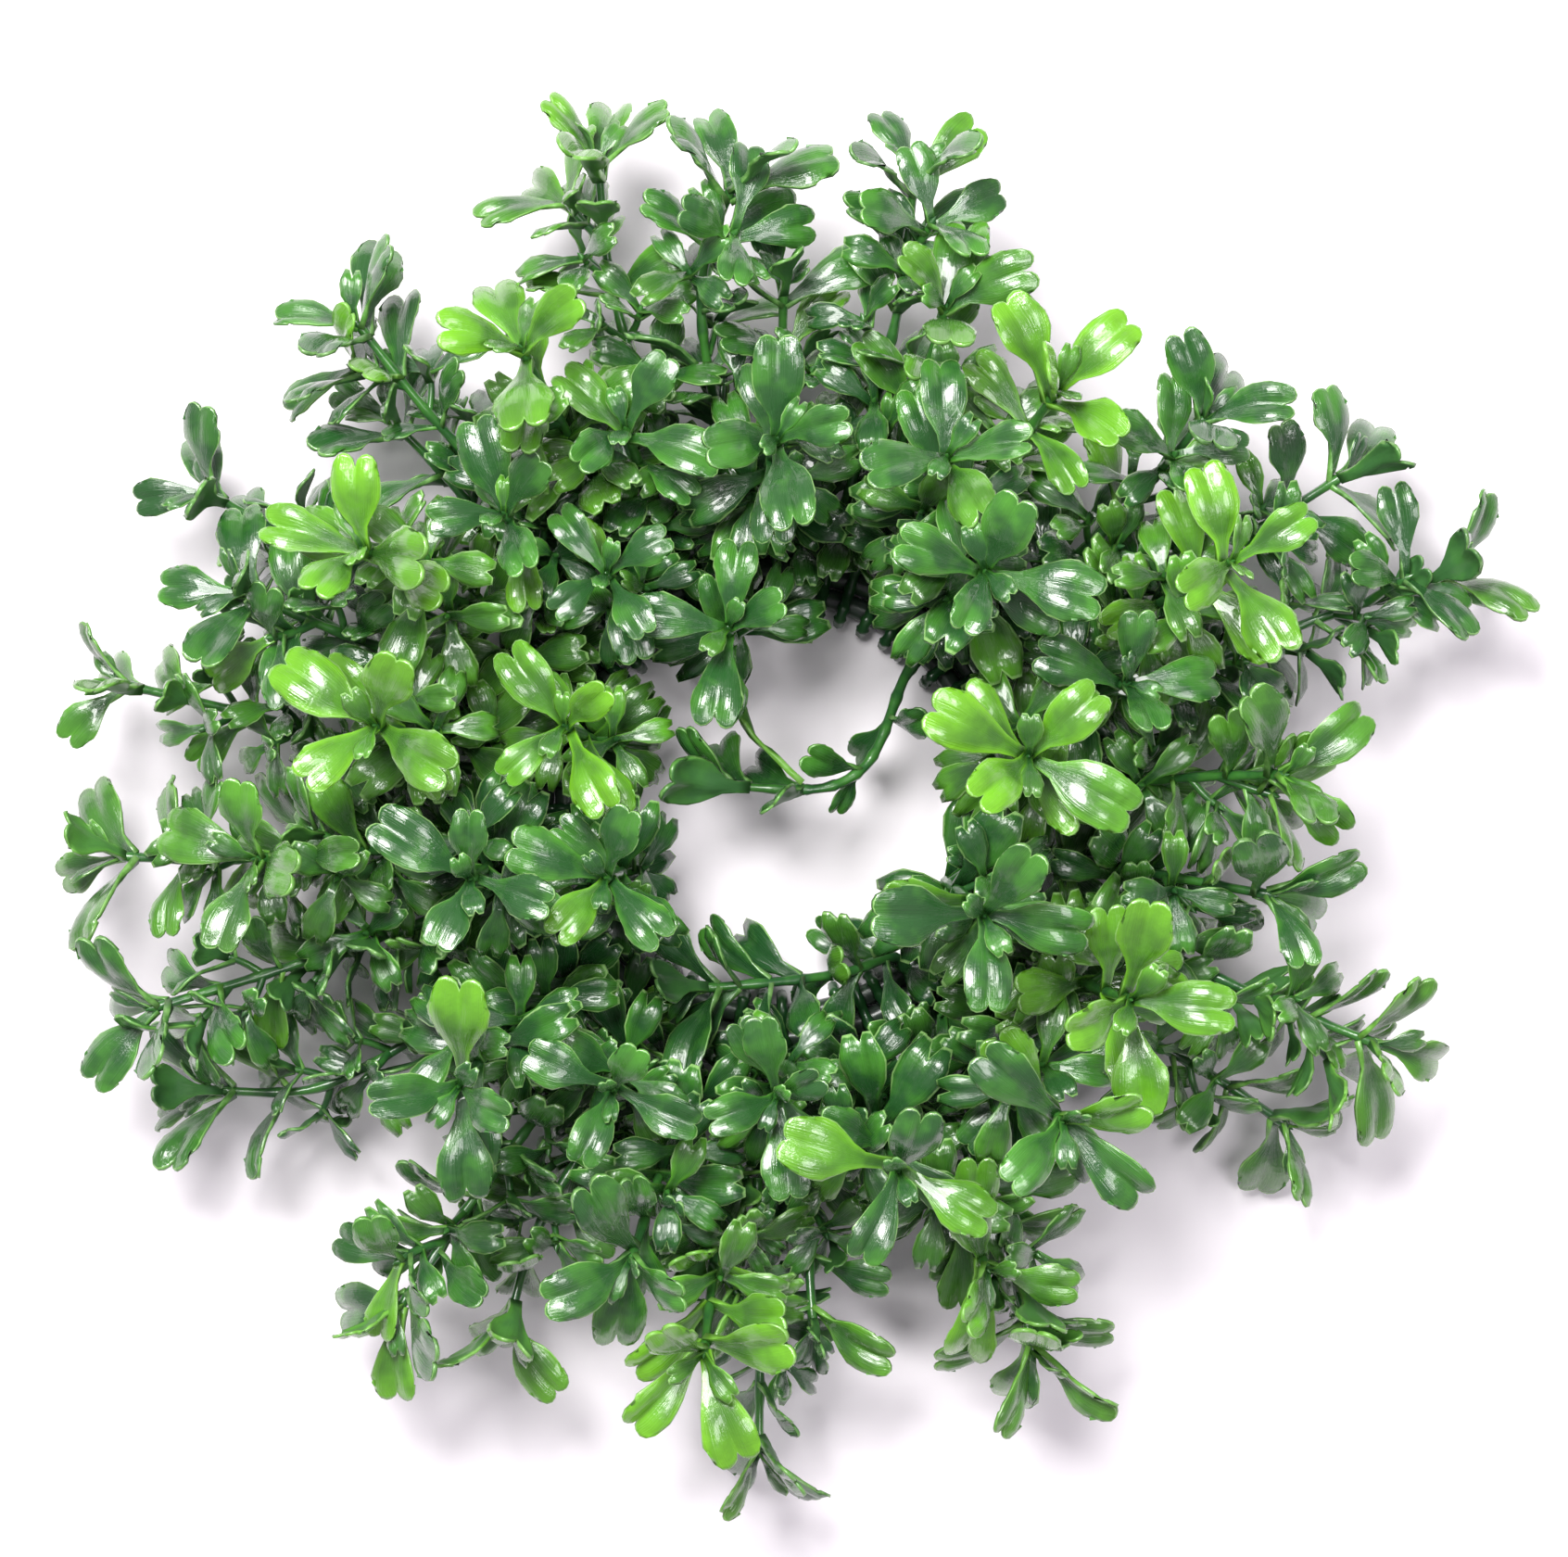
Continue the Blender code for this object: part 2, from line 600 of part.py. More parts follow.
def add_object(name, points, faces, collection, origin=Vector()):
    """A mesh object whose place is in its location, with every face turned outwards."""
    mesh = bpy.data.meshes.new(name)
    mesh.from_pydata([point - origin for point in points], [], faces)
    shaped = bmesh.new()
    shaped.from_mesh(mesh)
    bmesh.ops.recalc_face_normals(shaped, faces=shaped.faces)
    shaped.to_mesh(mesh)
    shaped.free()
    made = bpy.data.objects.new(name, mesh)
    made.location = origin
    collection.objects.link(made)
    return made


def fuse(target, pieces):
    """Joins a collection's pieces to the target with one Boolean union, then removes them."""
    joined = target.modifiers.new("fuse", "BOOLEAN")
    joined.operation = "UNION"
    joined.operand_type = "COLLECTION"
    joined.collection = pieces
    joined.solver = "MANIFOLD"
    bpy.context.view_layer.update()
    graph = bpy.context.evaluated_depsgraph_get()
    solid = bpy.data.meshes.new_from_object(target.evaluated_get(graph))
    target.modifiers.clear()
    target.data = solid
    for piece in list(pieces.objects):
        bpy.data.objects.remove(piece)
    bpy.data.collections.remove(pieces)


def build_spray(name, stem, twigs, leaves, scene, leaf_material):
    """One moulding: its stem, its forks and its leaves in one solid."""
    spray = add_object(name, *tube(stem), scene, stem.points[2])
    pieces = bpy.data.collections.new(name + "_pieces")
    scene.children.link(pieces)
    for number, twig in enumerate(twigs):
        add_object(f"{name}_twig_{number}", *tube(twig), pieces)
    for number, leaf in enumerate(leaves):
        add_object(f"{name}_leaf_{number}", *leaf_mesh(leaf), pieces)
    fuse(spray, pieces)
    spray.data.materials.clear()
    spray.data.materials.append(leaf_material)
    return spray


def build_wreath():
    for leftover in list(bpy.data.objects):
        bpy.data.objects.remove(leftover)
    scene = bpy.context.scene.collection
    strand_material = material("coated_strand", STRAND_GREEN, 0.25)
    leaf_materials = {tone: material(tone, colour, 0.3) for tone, colour in TONES.items()}
    whole = []
    for name, place in STRANDS.items():
        points, faces = ring_tube(RING_RADIUS + place * STRAND_PITCH, STRAND_HALF_HEIGHT)
        strand = add_object(name, points, faces, scene)
        strand.data.shade_smooth()
        strand.data.materials.append(strand_material)
        whole.append(strand)
    sprays = all_sprays()
    stems, twigs, leaves = plan_wreath(sprays)
    for name, spray in sprays.items():
        leaf_material = leaf_materials[spray.tone]
        whole.append(build_spray(name, stems[name], twigs[name], leaves[name], scene, leaf_material))
    centre_on_origin(whole)


def centre_on_origin(pieces):
    """Parents the pieces to an empty that brings the middle of their underside to the origin."""
    corners = [piece.matrix_world @ vertex.co for piece in pieces for vertex in piece.data.vertices]
    low = [min(corner[axis] for corner in corners) for axis in range(3)]
    high = [max(corner[axis] for corner in corners) for axis in range(3)]
    wreath = bpy.data.objects.new("wreath", None)
    bpy.context.scene.collection.objects.link(wreath)
    for piece in pieces:
        piece.parent = wreath
    wreath.location = (-(low[0] + high[0]) / 2, -(low[1] + high[1]) / 2, -low[2])
    print("ring centre from the origin, mm:", [round(value / MM, 3) for value in wreath.location])


build_wreath()
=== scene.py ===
# %% [markdown]
# # A moulded-plastic boxwood wreath
# This lesson dresses a small artificial wreath, seen from straight above. The frame holds its real
# shape: three coated strands in a ring, and leafy sprays hooked over them. Each spray is replaced
# here by a finer one that grows from the same rule, so that it keeps the frame's form. Everything is
# in metres, with +Z up, +X to the photograph's right and +Y to its top.

# %% The frame
import math
import random
from collections import namedtuple
from itertools import product

import bpy
import numpy as np
from mathutils import Matrix, Vector
from mathutils.bvhtree import BVHTree


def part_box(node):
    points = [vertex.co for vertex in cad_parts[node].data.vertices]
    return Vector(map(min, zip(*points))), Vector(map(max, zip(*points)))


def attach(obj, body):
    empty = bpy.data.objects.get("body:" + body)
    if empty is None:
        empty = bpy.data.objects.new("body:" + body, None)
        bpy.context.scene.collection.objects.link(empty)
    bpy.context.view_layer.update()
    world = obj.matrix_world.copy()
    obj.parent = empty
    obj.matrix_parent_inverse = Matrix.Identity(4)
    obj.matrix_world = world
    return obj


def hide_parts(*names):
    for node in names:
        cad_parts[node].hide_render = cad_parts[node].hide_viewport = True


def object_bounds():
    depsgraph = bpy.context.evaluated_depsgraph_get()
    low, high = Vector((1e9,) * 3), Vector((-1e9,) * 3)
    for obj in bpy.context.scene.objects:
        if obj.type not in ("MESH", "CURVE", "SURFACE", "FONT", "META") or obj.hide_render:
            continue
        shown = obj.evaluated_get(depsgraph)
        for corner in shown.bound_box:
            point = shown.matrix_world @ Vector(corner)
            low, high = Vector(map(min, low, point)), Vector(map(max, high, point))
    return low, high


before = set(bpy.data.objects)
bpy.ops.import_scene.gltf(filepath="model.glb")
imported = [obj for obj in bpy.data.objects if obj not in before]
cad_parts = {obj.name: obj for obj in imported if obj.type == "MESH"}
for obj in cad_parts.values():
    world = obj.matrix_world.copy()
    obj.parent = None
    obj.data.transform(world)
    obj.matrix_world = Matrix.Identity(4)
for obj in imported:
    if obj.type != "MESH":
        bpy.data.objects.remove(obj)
cad_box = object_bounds()
MM = 0.001
UP = Vector((0, 0, 1))


def in_mm(lengths):
    return [round(length / MM, 1) for length in lengths]


print("nodes in the frame:", len(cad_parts))

# %% [markdown]
# ## Where the ring's centre is
# The sprays were measured from the centre of the ring, but the frame's origin is the middle of the
# whole outline. The middle strand is a plain ring, so the centre of its box is the ring's centre.

# %% The ring's centre
low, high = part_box("core_strand_middle")
RING_CENTRE = Vector(((low.x + high.x) / 2, (low.y + high.y) / 2, 0))
print("ring centre, mm:", in_mm(RING_CENTRE))

# %% [markdown]
# ## Camera
# The photograph looks straight down. A camera without perspective could be used, but in the
# photograph the upper leaves do lean outwards a little, so the camera is far off with a long lens.
# The lens follows from the picture's width at the height of the middle of the foliage.

# %% The camera
IMAGE_WIDTH, IMAGE_HEIGHT = 1692, 1680
PIXEL = 0.155 * MM
RING_PIXEL = (838, 868)
CAMERA_HEIGHT = 1.6
FOCUS_HEIGHT = 35 * MM
SENSOR = 36

view_x = RING_CENTRE.x + (IMAGE_WIDTH / 2 - RING_PIXEL[0]) * PIXEL
view_y = RING_CENTRE.y + (RING_PIXEL[1] - IMAGE_HEIGHT / 2) * PIXEL
bpy.ops.object.camera_add(location=(view_x, view_y, CAMERA_HEIGHT), rotation=(0, 0, 0))
camera = bpy.context.object
camera.name = "overhead_camera"
camera.data.sensor_width = SENSOR
camera.data.sensor_fit = "HORIZONTAL"
camera.data.lens = SENSOR * (CAMERA_HEIGHT - FOCUS_HEIGHT) / (IMAGE_WIDTH * PIXEL)
camera.data.clip_start = 0.05
camera.data.clip_end = 20
bpy.context.scene.camera = camera
print("lens, mm:", round(camera.data.lens, 1))

# %% [markdown]
# ## Floor and light
# The wreath lies on a white sheet that the photograph shows almost burnt out, with soft lilac shadows
# that fall towards the lower right. One even sky would light it without any shadow, so a large soft
# lamp at the upper left gives those, a weaker one lifts the other side, and the pale world fills in.

# %% The floor
FLOOR_SIZE = 6.0
FLOOR_DROP = 0.1 * MM
PAPER_WHITE = (0.9, 0.855, 0.9, 1)
bpy.ops.object.select_all(action="DESELECT")
bpy.ops.mesh.primitive_plane_add(size=FLOOR_SIZE, location=(0, 0, -FLOOR_DROP))
floor = bpy.context.object
floor.name = "white_floor"
paper = bpy.data.materials.new("white_paper")
paper.use_nodes = True
surface = paper.node_tree.nodes["Principled BSDF"]
surface.inputs["Base Color"].default_value = PAPER_WHITE
surface.inputs["Roughness"].default_value = 0.9
floor.data.materials.append(paper)
print("floor:", FLOOR_SIZE, "m")

# %% The lamps and the world
# Each lamp's place, its width in metres, its power in watts and its colour
LAMPS = {
    "key_lamp": ((-0.22, 0.42, 0.95), 0.5, 18.5, (1.0, 1.0, 0.98)),
    "fill_lamp": ((0.42, -0.12, 1.1), 0.42, 5, (1.0, 0.98, 1.0)),
}
for name, (place, size, power, colour) in LAMPS.items():
    bpy.ops.object.light_add(type="AREA", location=place)
    lamp = bpy.context.object
    lamp.name = name
    lamp.data.shape = "DISK"
    lamp.data.size = size
    lamp.data.energy = power
    lamp.data.color = colour
    lamp.rotation_euler = (-Vector(place)).to_track_quat("-Z", "Y").to_euler()
world = bpy.data.worlds.new("pale_room")
world.use_nodes = True
room = world.node_tree.nodes["Background"]
room.inputs["Color"].default_value = (0.97, 0.89, 1.0, 1)
room.inputs["Strength"].default_value = 0.35
bpy.context.scene.world = world
bpy.context.scene.view_settings.view_transform = "Standard"
print("lamps:", list(LAMPS))

# %% [markdown]
# ## The wreath's own measures
# A real spray is one moulding: a stem that is bent over the strands like a saddle, pairs of leaves
# that cross each other along it, and a whorl of four at its end. Each could be modelled by hand, but
# 55 of them would take days and not fit the frame. So all grow by one rule from these sizes, as the
# frame's own did.

# %% Ring and stem sizes
# Core ring: three strands side by side. The frame's own have eight sides and rest on a flat one
RING_RADIUS = 40 * MM
STRAND_RADIUS = 2.0 * MM
STRAND_GAP = 0.3 * MM
STRAND_SIDES = 8
RING_STEPS = 24
STRAND_HALF_HEIGHT = STRAND_RADIUS * math.cos(math.pi / STRAND_SIDES)
STRAND_PITCH = 2 * STRAND_HALF_HEIGHT + STRAND_GAP
STRANDS = {"core_strand_inner": -1, "core_strand_middle": 0, "core_strand_outer": 1}

# Stems: a saddle over the strands, then a curve to the spray's tip
STEM_RADIUS = 1.0 * MM
STEM_SIDES = 4
STEM_STEPS = 4
SEAT_GAP = 0.3 * MM
SADDLE_HEIGHT = 2 * STRAND_HALF_HEIGHT + SEAT_GAP + STEM_RADIUS
SADDLE_REACH = STRAND_PITCH + STRAND_RADIUS + SEAT_GAP + STEM_RADIUS
SADDLE_FOOT = 1.4 * MM
SADDLE_CORNER_IN = 1.7 * MM
SADDLE_CORNER_DOWN = 2.1 * MM
SADDLE_EXIT = 0.3 * STRAND_PITCH
LIFT_OFF = math.radians(53)
TIP_PULL = 0.38
BASE_SPACING = math.radians(5.6)
SPREAD_ROUNDS = 400
BUD = 1.8 * MM
UPRIGHT = 0.75

# Twigs: short forks with a whorl of their own
TWIG_RADIUS = 0.85 * MM
TWIG_LENGTH = 11 * MM
TWIG_FORK = math.radians(42)
TWIG_BEND = 0.35
TWIG_PLACE = 15 * MM
TWIG_FLOOR = 4 * MM
TWIG_BUD = 1.4 * MM
print("a stem's saddle, mm:", in_mm((SADDLE_REACH, SADDLE_HEIGHT)))

# %% Leaf sizes
# Leaves: a ridged neck that opens into two puffed lobes with a notch between them.
# Places along it and the neck's thickness are shares of its length, and places across it of its half.
LEAF_LENGTH = 20 * MM
LEAF_WIDTH = 9.9 * MM
NECK_HALF_WIDTH = 0.07
NECK_DEPTH = 0.07
ROOT_TAPER = 0.45
NECK_END = 0.31
WIDEST = 0.68
LOBE_TOP = 0.78
LOBE_ACROSS = 0.48
TIP_ACROSS = 0.6
NOTCH = 0.92
PUFF = 0.9 * MM
EDGE_DROP = 0.3 * MM

# Leaf pairs: how far apart they grow, how they vary, and the room they keep
PAIR_STEP = 1.9 * MM
TIER_PITCH = 11 * MM
TIER_SIZES = (1.0, 0.87, 0.79, 0.71, 0.63)
WHORL_SIZES = (0.88, 1.0)
TWIG_LEAF_SIZE = 0.8
SIZE_RANGE = (0.82, 1.03)
WHORL_OPEN = ((22, 50), (42, 66))
LOWER_OPEN = (46, 68)
CURL_RANGE = (16, 54)
TWIST_RANGE = (-18, 18)
ROLL_RANGE = (-15, 15)
FACE_UP_LIMIT = math.radians(64)
FACE_UP_SHARE = (0.15, 1.05)
BACK_UP = math.radians(125)
FLATTER_WHEN_TURNED = 0.4
CLEARANCE = 0.35 * MM
FLOOR_CLEARANCE = 0.8 * MM
print("largest leaf, mm:", in_mm((LEAF_LENGTH, LEAF_WIDTH)))

# %% [markdown]
# ## The sprays' places
# The photograph shows where each spray ends. Chance could scatter them, but then none would be where
# the real one is. So a row of this table gives the place of one end whorl from the ring's centre in
# millimetres, the way its stem points there, and how the whorl is turned.

# %% The sprays
# The hole's clear spaces, which no leaf or stem enters: (low corner, high corner) in millimetres
OPENINGS = (
    ((-16.5, -17.5, -5), (13, -2.5, 90)),
    ((-3, 10.5, -5), (12.5, 26.5, 90)),
    ((14, -10.5, -5), (27, 0, 90)),
)

# One row for each spray, read from the photograph in millimetres and degrees from the ring's centre:
# tip is where its end whorl sits, heading and lift are the way its stem points there, and roll turns
# the whorl. tiers counts the leaf pairs below the end whorl, twigs the forks, size scales its leaves,
# tone is its colour, and via lists the points that a winding stem runs through.
DEFAULTS = (1.0, "deep_green", ())
Spray = namedtuple("Spray", "tip heading lift roll tiers twigs size tone via", defaults=DEFAULTS)
SPRAYS = (
    Spray((84, 5, 43), 0, 45, 35, 2, 1, tone="fresh_green"),
    Spray((41, 8, 61), 0, 74, 50, 1, 0, 1.05, tone="lime_green"),
    Spray((58, 20, 48), 20, 65, 80, 1, 0, 0.9),
    Spray((112, 38, 24), 15, 8, 20, 2, 1),
    Spray((75, 40, 54), 30, 65, 30, 2, 0, 1.05, tone="lime_green"),
    Spray((95, 55, 28), 35, 15, 80, 2, 0, 0.95),
    Spray((71, 64, 40), 54, 25, 0, 2, 1),
    Spray((34, 38, 65), 60, 72, 70, 1, 0, 1.1),
    Spray((46, 68, 50), 55, 55, 35, 1, 0, 1.05, tone="lime_green"),
    Spray((28, 57, 61), 80, 68, 15, 1, 0, 1.05),
    Spray((28, 82, 46), 75, 45, 0, 2, 0, tone="fresh_green"),
    Spray((23, 104, 38), 88, 18, 50, 2, 1),
    Spray((1, 86, 30), 85, 35, 70, 1, 0, 0.85),
    Spray((0, 60, 60), 60, 74, 5, 1, 0, 1.05),
    Spray((-8, 29, 43), 100, 70, 0, 1, 0, 0.95),
    Spray((-8, 103, 39), 58, 25, 60, 2, 1),
    Spray((-30, 107, 33), 90, 18, 0, 2, 1, tone="fresh_green"),
    Spray((-25, 62, 46), 112, 65, 60, 1, 0, 0.9),
    Spray((-42, 75, 54), 115, 50, 15, 1, 0, 1.05, tone="lime_green"),
    Spray((-70, 80, 34), 125, 20, 30, 2, 1),
    Spray((-45, 48, 48), 132, 65, 20, 1, 0, 0.9),
    Spray((-28, 38, 46), 126, 70, 30, 1, 0, 0.85),
    Spray((-64, 64, 24), 138, 15, 70, 2, 0, 0.9),
    Spray((-68, 42, 58), 148, 65, 70, 1, 0, 1.1, tone="lime_green"),
    Spray((-95, 52, 24), 150, 12, 20, 2, 0, 0.9),
    Spray((-88, 35, 41), 155, 30, 60, 2, 1),
    Spray((-109, 20, 28), 168, 10, 10, 2, 0, 0.9, tone="fresh_green"),
    Spray((-66, 13, 56), 168, 70, 50, 1, 0, 1.05, tone="lime_green"),
    Spray((-35, 13, 46), 160, 72, 40, 1, 0, 0.9, tone="lime_green"),
    Spray((-110, -9, 26), 172, 10, 60, 2, 0, tone="fresh_green"),
    Spray((-86, -9, 46), 184, 45, 10, 2, 0, tone="fresh_green"),
    Spray((-50, -12, 58), 215, 70, 70, 1, 0, 1.0),
    Spray((-28, -12, 50), 200, 75, 60, 1, 0, 0.95),
    Spray((-104, -34, 34), 196, 15, 30, 2, 1),
    Spray((-94, -49, 18), 165, 5, 70, 2, 0, 0.95),
    Spray((-52, -46, 60), 235, 68, 5, 1, 0, 1.1),
    Spray((-63, -84, 32), 238, 15, 40, 2, 1),
    Spray((-27, -47, 48), 238, 70, 60, 1, 0, 0.9),
    Spray((-24, -75, 50), 250, 58, 5, 1, 0, 1.05),
    Spray((-12, -91, 45), 262, 58, 60, 2, 0, 1.15, tone="lime_green"),
    Spray((-3, -109, 20), 268, 5, 20, 2, 0, 0.9),
    Spray((0, -48, 50), 270, 75, 20, 1, 0, 0.9),
    Spray((6, -87, 24), 276, 20, 80, 1, 0, 0.85),
    Spray((20, -60, 56), 290, 70, 65, 1, 0, 1.05),
    Spray((43, -91, 32), 276, 22, 5, 2, 1, 1.05, tone="fresh_green"),
    Spray((35, -77, 41), 300, 52, 20, 1, 0, 1.05, tone="fresh_green"),
    Spray((47, -52, 56), 312, 70, 40, 2, 0, 1.1),
    Spray((58, -32, 60), 345, 70, 5, 2, 0, 1.1, tone="lime_green"),
    Spray((86, -54, 16), 322, 3, 40, 2, 0, 0.95, tone="fresh_green"),
    Spray((100, -40, 30), 340, 10, 70, 2, 1, tone="fresh_green"),
    Spray((34, -18, 63), 300, 75, 80, 1, 0, 1.1),
    Spray((82, -15, 38), 350, 18, 20, 1, 0),
    Spray((-45, -86, 26), 262, 10, 10, 2, 0, 1.0, tone="fresh_green"),
)
SPRIG_ACROSS_HOLE = Spray(
    (-7, 3, 25), 172, 5, 20, 3, 0, 0.95, "deep_green",
    ((22, 22, 13), (18.5, 13, 19), (15, 6.5, 22), (9, 3, 24), (1, 2.5, 25)),
)
SPRAY_ALONG_HOLE = Spray(
    (-12, -31, 22), 182, 10, 70, 4, 0, 0.95, "deep_green",
    ((20, -26, 9), (12, -28.5, 14), (0, -30, 19)),
)
BY_THE_HOLE = {"sprig_across_hole": SPRIG_ACROSS_HOLE, "spray_along_hole": SPRAY_ALONG_HOLE}
print("sprays:", len(SPRAYS) + len(BY_THE_HOLE))

# %% What may change where leaves would cross
# Turns tried for a leaf that would cross another piece: (round its stem, further open), in degrees
TURNS = (
    (0, 0), (9, 0), (-9, 0), (0, -10), (0, 10), (16, -8), (-16, -8), (16, 8), (-16, 8),
    (25, 0), (-25, 0), (0, -20), (34, -10), (-34, -10),
)
# Sizes tried for such a leaf, and how far a stem swings out on its way, as shares of its reach
SHRINKS = (1.0, 0.86, 0.72)
BULGES = (0.4, 0.5, 0.3, 0.6, 0.22, 0.7)
Stem = namedtuple("Stem", "points across radius")
Leaf = namedtuple("Leaf", "root axis out length width open curl twist")
Obstacle = namedtuple("Obstacle", "node low high tree")
print("ways to try for each leaf:", len(TURNS) * len(SHRINKS))

# %% [markdown]
# ## How a leaf lies
# A moulded leaf leaves its stem at an angle and curls further open towards its tip. A bend modifier
# could do that for one leaf at a time. Here its middle line is an arc, because a formula also tells
# where the leaf will be before it is made. `leaf_frame` gives the point on that arc, the direction
# across the leaf and the direction out of its face.

# %% The leaf's arc
def leaf_frame(leaf, share):
    """Centre, sideways direction and upper normal at a share of the leaf's length."""
    start = leaf.open
    angle = start + leaf.curl * share
    forward = math.cos(angle) * leaf.axis + math.sin(angle) * leaf.out
    normal = math.sin(angle) * leaf.axis - math.cos(angle) * leaf.out
    along = (
        (math.sin(angle) - math.sin(start)) * leaf.axis
        + (math.cos(start) - math.cos(angle)) * leaf.out
    )
    side = forward.cross(normal)
    turned = Matrix.Rotation(leaf.twist * min(share / NECK_END, 1), 3, forward)
    return leaf.root + along * (leaf.length / leaf.curl), turned @ side, turned @ normal


SAMPLE_LEAF = Leaf(
    root=Vector(), axis=UP, out=Vector((1, 0, 0)), length=LEAF_LENGTH, width=LEAF_WIDTH,
    open=math.radians(50), curl=math.radians(35), twist=0,
)
print("a sample leaf's tip, mm:", in_mm(leaf_frame(SAMPLE_LEAF, 1)[0]))

# %% The plain leaf that the clearances are tested with
def leaf_mesh(leaf, swell=0.0):
    """Corners and faces of a leaf: a straight three-sided neck, then two puffed lobes and a notch.
    swell makes it thicker and wider all round, to test the room it needs."""
    def corner(share, across, height):
        centre, side, normal = leaf_frame(leaf, share)
        return centre + side * across + normal * height

    half = leaf.width / 2 + swell
    neck = NECK_HALF_WIDTH * leaf.length + swell
    depth = NECK_DEPTH * leaf.length + swell
    tip = 1.0 + swell / leaf.length
    neck_ring = [
        corner(NECK_END, -neck, 0),
        corner(NECK_END, neck, 0),
        corner(NECK_END, 0, -depth),
    ]
    neck_centre = leaf_frame(leaf, NECK_END)[0]
    points = [
        *(leaf.root + (point - neck_centre) * ROOT_TAPER for point in neck_ring),
        *neck_ring,
        corner(WIDEST, -half, -EDGE_DROP),
        corner(WIDEST, half, -EDGE_DROP),
        corner(tip, -TIP_ACROSS * half, -EDGE_DROP),
        corner(tip, TIP_ACROSS * half, -EDGE_DROP),
        corner(NOTCH, 0, 0),
        corner(LOBE_TOP, -LOBE_ACROSS * half, PUFF + swell),
        corner(LOBE_TOP, LOBE_ACROSS * half, PUFF + swell),
    ]
    return points, LEAF_FACES


def leaf_faces():
    """Triangles over the corners that leaf_mesh lists, those of the neck first."""
    root_l, root_r, root_b, neck_l, neck_r, neck_b = range(6)
    wide_l, wide_r, tip_l, tip_r, notch, lobe_l, lobe_r = range(6, 13)
    neck = [
        (root_l, root_b, root_r),
        (root_l, root_r, neck_r), (root_l, neck_r, neck_l),
        (root_r, root_b, neck_b), (root_r, neck_b, neck_r),
        (root_b, root_l, neck_l), (root_b, neck_l, neck_b),
    ]
    upper = [
        (neck_l, neck_r, notch),
        (neck_l, notch, lobe_l), (neck_l, lobe_l, wide_l),
        (wide_l, lobe_l, tip_l), (tip_l, lobe_l, notch),
        (neck_r, lobe_r, notch), (neck_r, wide_r, lobe_r),
        (wide_r, tip_r, lobe_r), (tip_r, notch, lobe_r),
    ]
    lower = [
        (neck_l, wide_l, neck_b), (wide_l, tip_l, neck_b), (tip_l, notch, neck_b),
        (notch, tip_r, neck_b), (tip_r, wide_r, neck_b), (wide_r, neck_r, neck_b),
    ]
    return neck + upper + lower


LEAF_FACES = leaf_faces()
NECK_FACE_COUNT = 7
BLADE_FACES = LEAF_FACES[NECK_FACE_COUNT:]
print("plain leaf:", len(LEAF_FACES), "faces")

# %% [markdown]
# ## How a stem runs
# A real stem is hooked over the strands and bent outwards by hand. Wire could be simulated, but its
# end would not come to rest where the photograph shows it. So a stem here sits astride the strands
# and then swings out to its known tip on one smooth curve.

# %% Curves
def bezier(start, lead, trail, end, share):
    rest = 1 - share
    return rest**3 * start + 3 * rest**2 * share * lead + 3 * rest * share**2 * trail + share**3 * end


def smooth_point(points, place):
    """A point on the curve through all of points, at a place counted in points from the first."""
    index = min(int(place), len(points) - 2)
    share = place - index
    first, second = points[index], points[index + 1]
    before = points[index - 1] if index else 2 * first - second
    after = points[index + 2] if index + 2 < len(points) else 2 * second - first
    return bezier(first, first + (second - before) / 6, second - (after - first) / 6, second, share)


print("half way along a smooth curve through 0, 1 and 4:", smooth_point((0, 1, 4), 1))

# %% Plain stems and strands
def segment_frames(stem):
    """Directions ahead and across for each straight length, with the least turn at each joint."""
    points = stem.points
    ahead = [(points[at + 1] - points[at]).normalized() for at in range(len(points) - 1)]
    across = [stem.across] * len(ahead)
    for at in reversed(range(len(ahead) - 1)):
        across[at] = ahead[at + 1].rotation_difference(ahead[at]) @ across[at + 1]
    return ahead, across


def tube(stem, swell=0.0):
    """A closed four-sided tube with mitred joints. Its flats face across the stem."""
    ahead, across = segment_frames(stem)
    radius = stem.radius + swell
    corners = []
    for index, point in enumerate(stem.points):
        after = min(index, len(ahead) - 1)
        mitre = ahead[max(index - 1, 0)] + ahead[after]
        other = ahead[after].cross(across[after])
        for step in range(STEM_SIDES):
            turn = math.tau * (step + 0.5) / STEM_SIDES
            away = radius * (math.cos(turn) * across[after] + math.sin(turn) * other)
            corners.append(point + away - ahead[after] * (away.dot(mitre) / ahead[after].dot(mitre)))
    faces = [tuple(reversed(range(STEM_SIDES)))]
    for index in range(len(stem.points) - 1):
        for step in range(STEM_SIDES):
            near = index * STEM_SIDES + step
            beside = index * STEM_SIDES + (step + 1) % STEM_SIDES
            faces.append((near, beside, beside + STEM_SIDES, near + STEM_SIDES))
    faces.append(tuple(len(corners) - STEM_SIDES + step for step in range(STEM_SIDES)))
    return corners, faces


def ring_tube(radius, height):
    """One of the frame's plain strands: a closed ring with a flat side underneath."""
    corners = []
    faces = []
    total = RING_STEPS * STRAND_SIDES
    for step in range(RING_STEPS):
        turn = math.tau * step / RING_STEPS
        away = Vector((math.cos(turn), math.sin(turn), 0))
        for side in range(STRAND_SIDES):
            angle = math.tau * (side + 0.5) / STRAND_SIDES
            reach = radius + STRAND_RADIUS * math.cos(angle)
            corners.append(away * reach + UP * (height + STRAND_RADIUS * math.sin(angle)))
            near = step * STRAND_SIDES + side
            beside = step * STRAND_SIDES + (side + 1) % STRAND_SIDES
            faces.append((near, (near + STRAND_SIDES) % total, (beside + STRAND_SIDES) % total, beside))
    return corners, faces


print("faces of a plain strand:", len(ring_tube(RING_RADIUS, STRAND_HALF_HEIGHT)[1]))

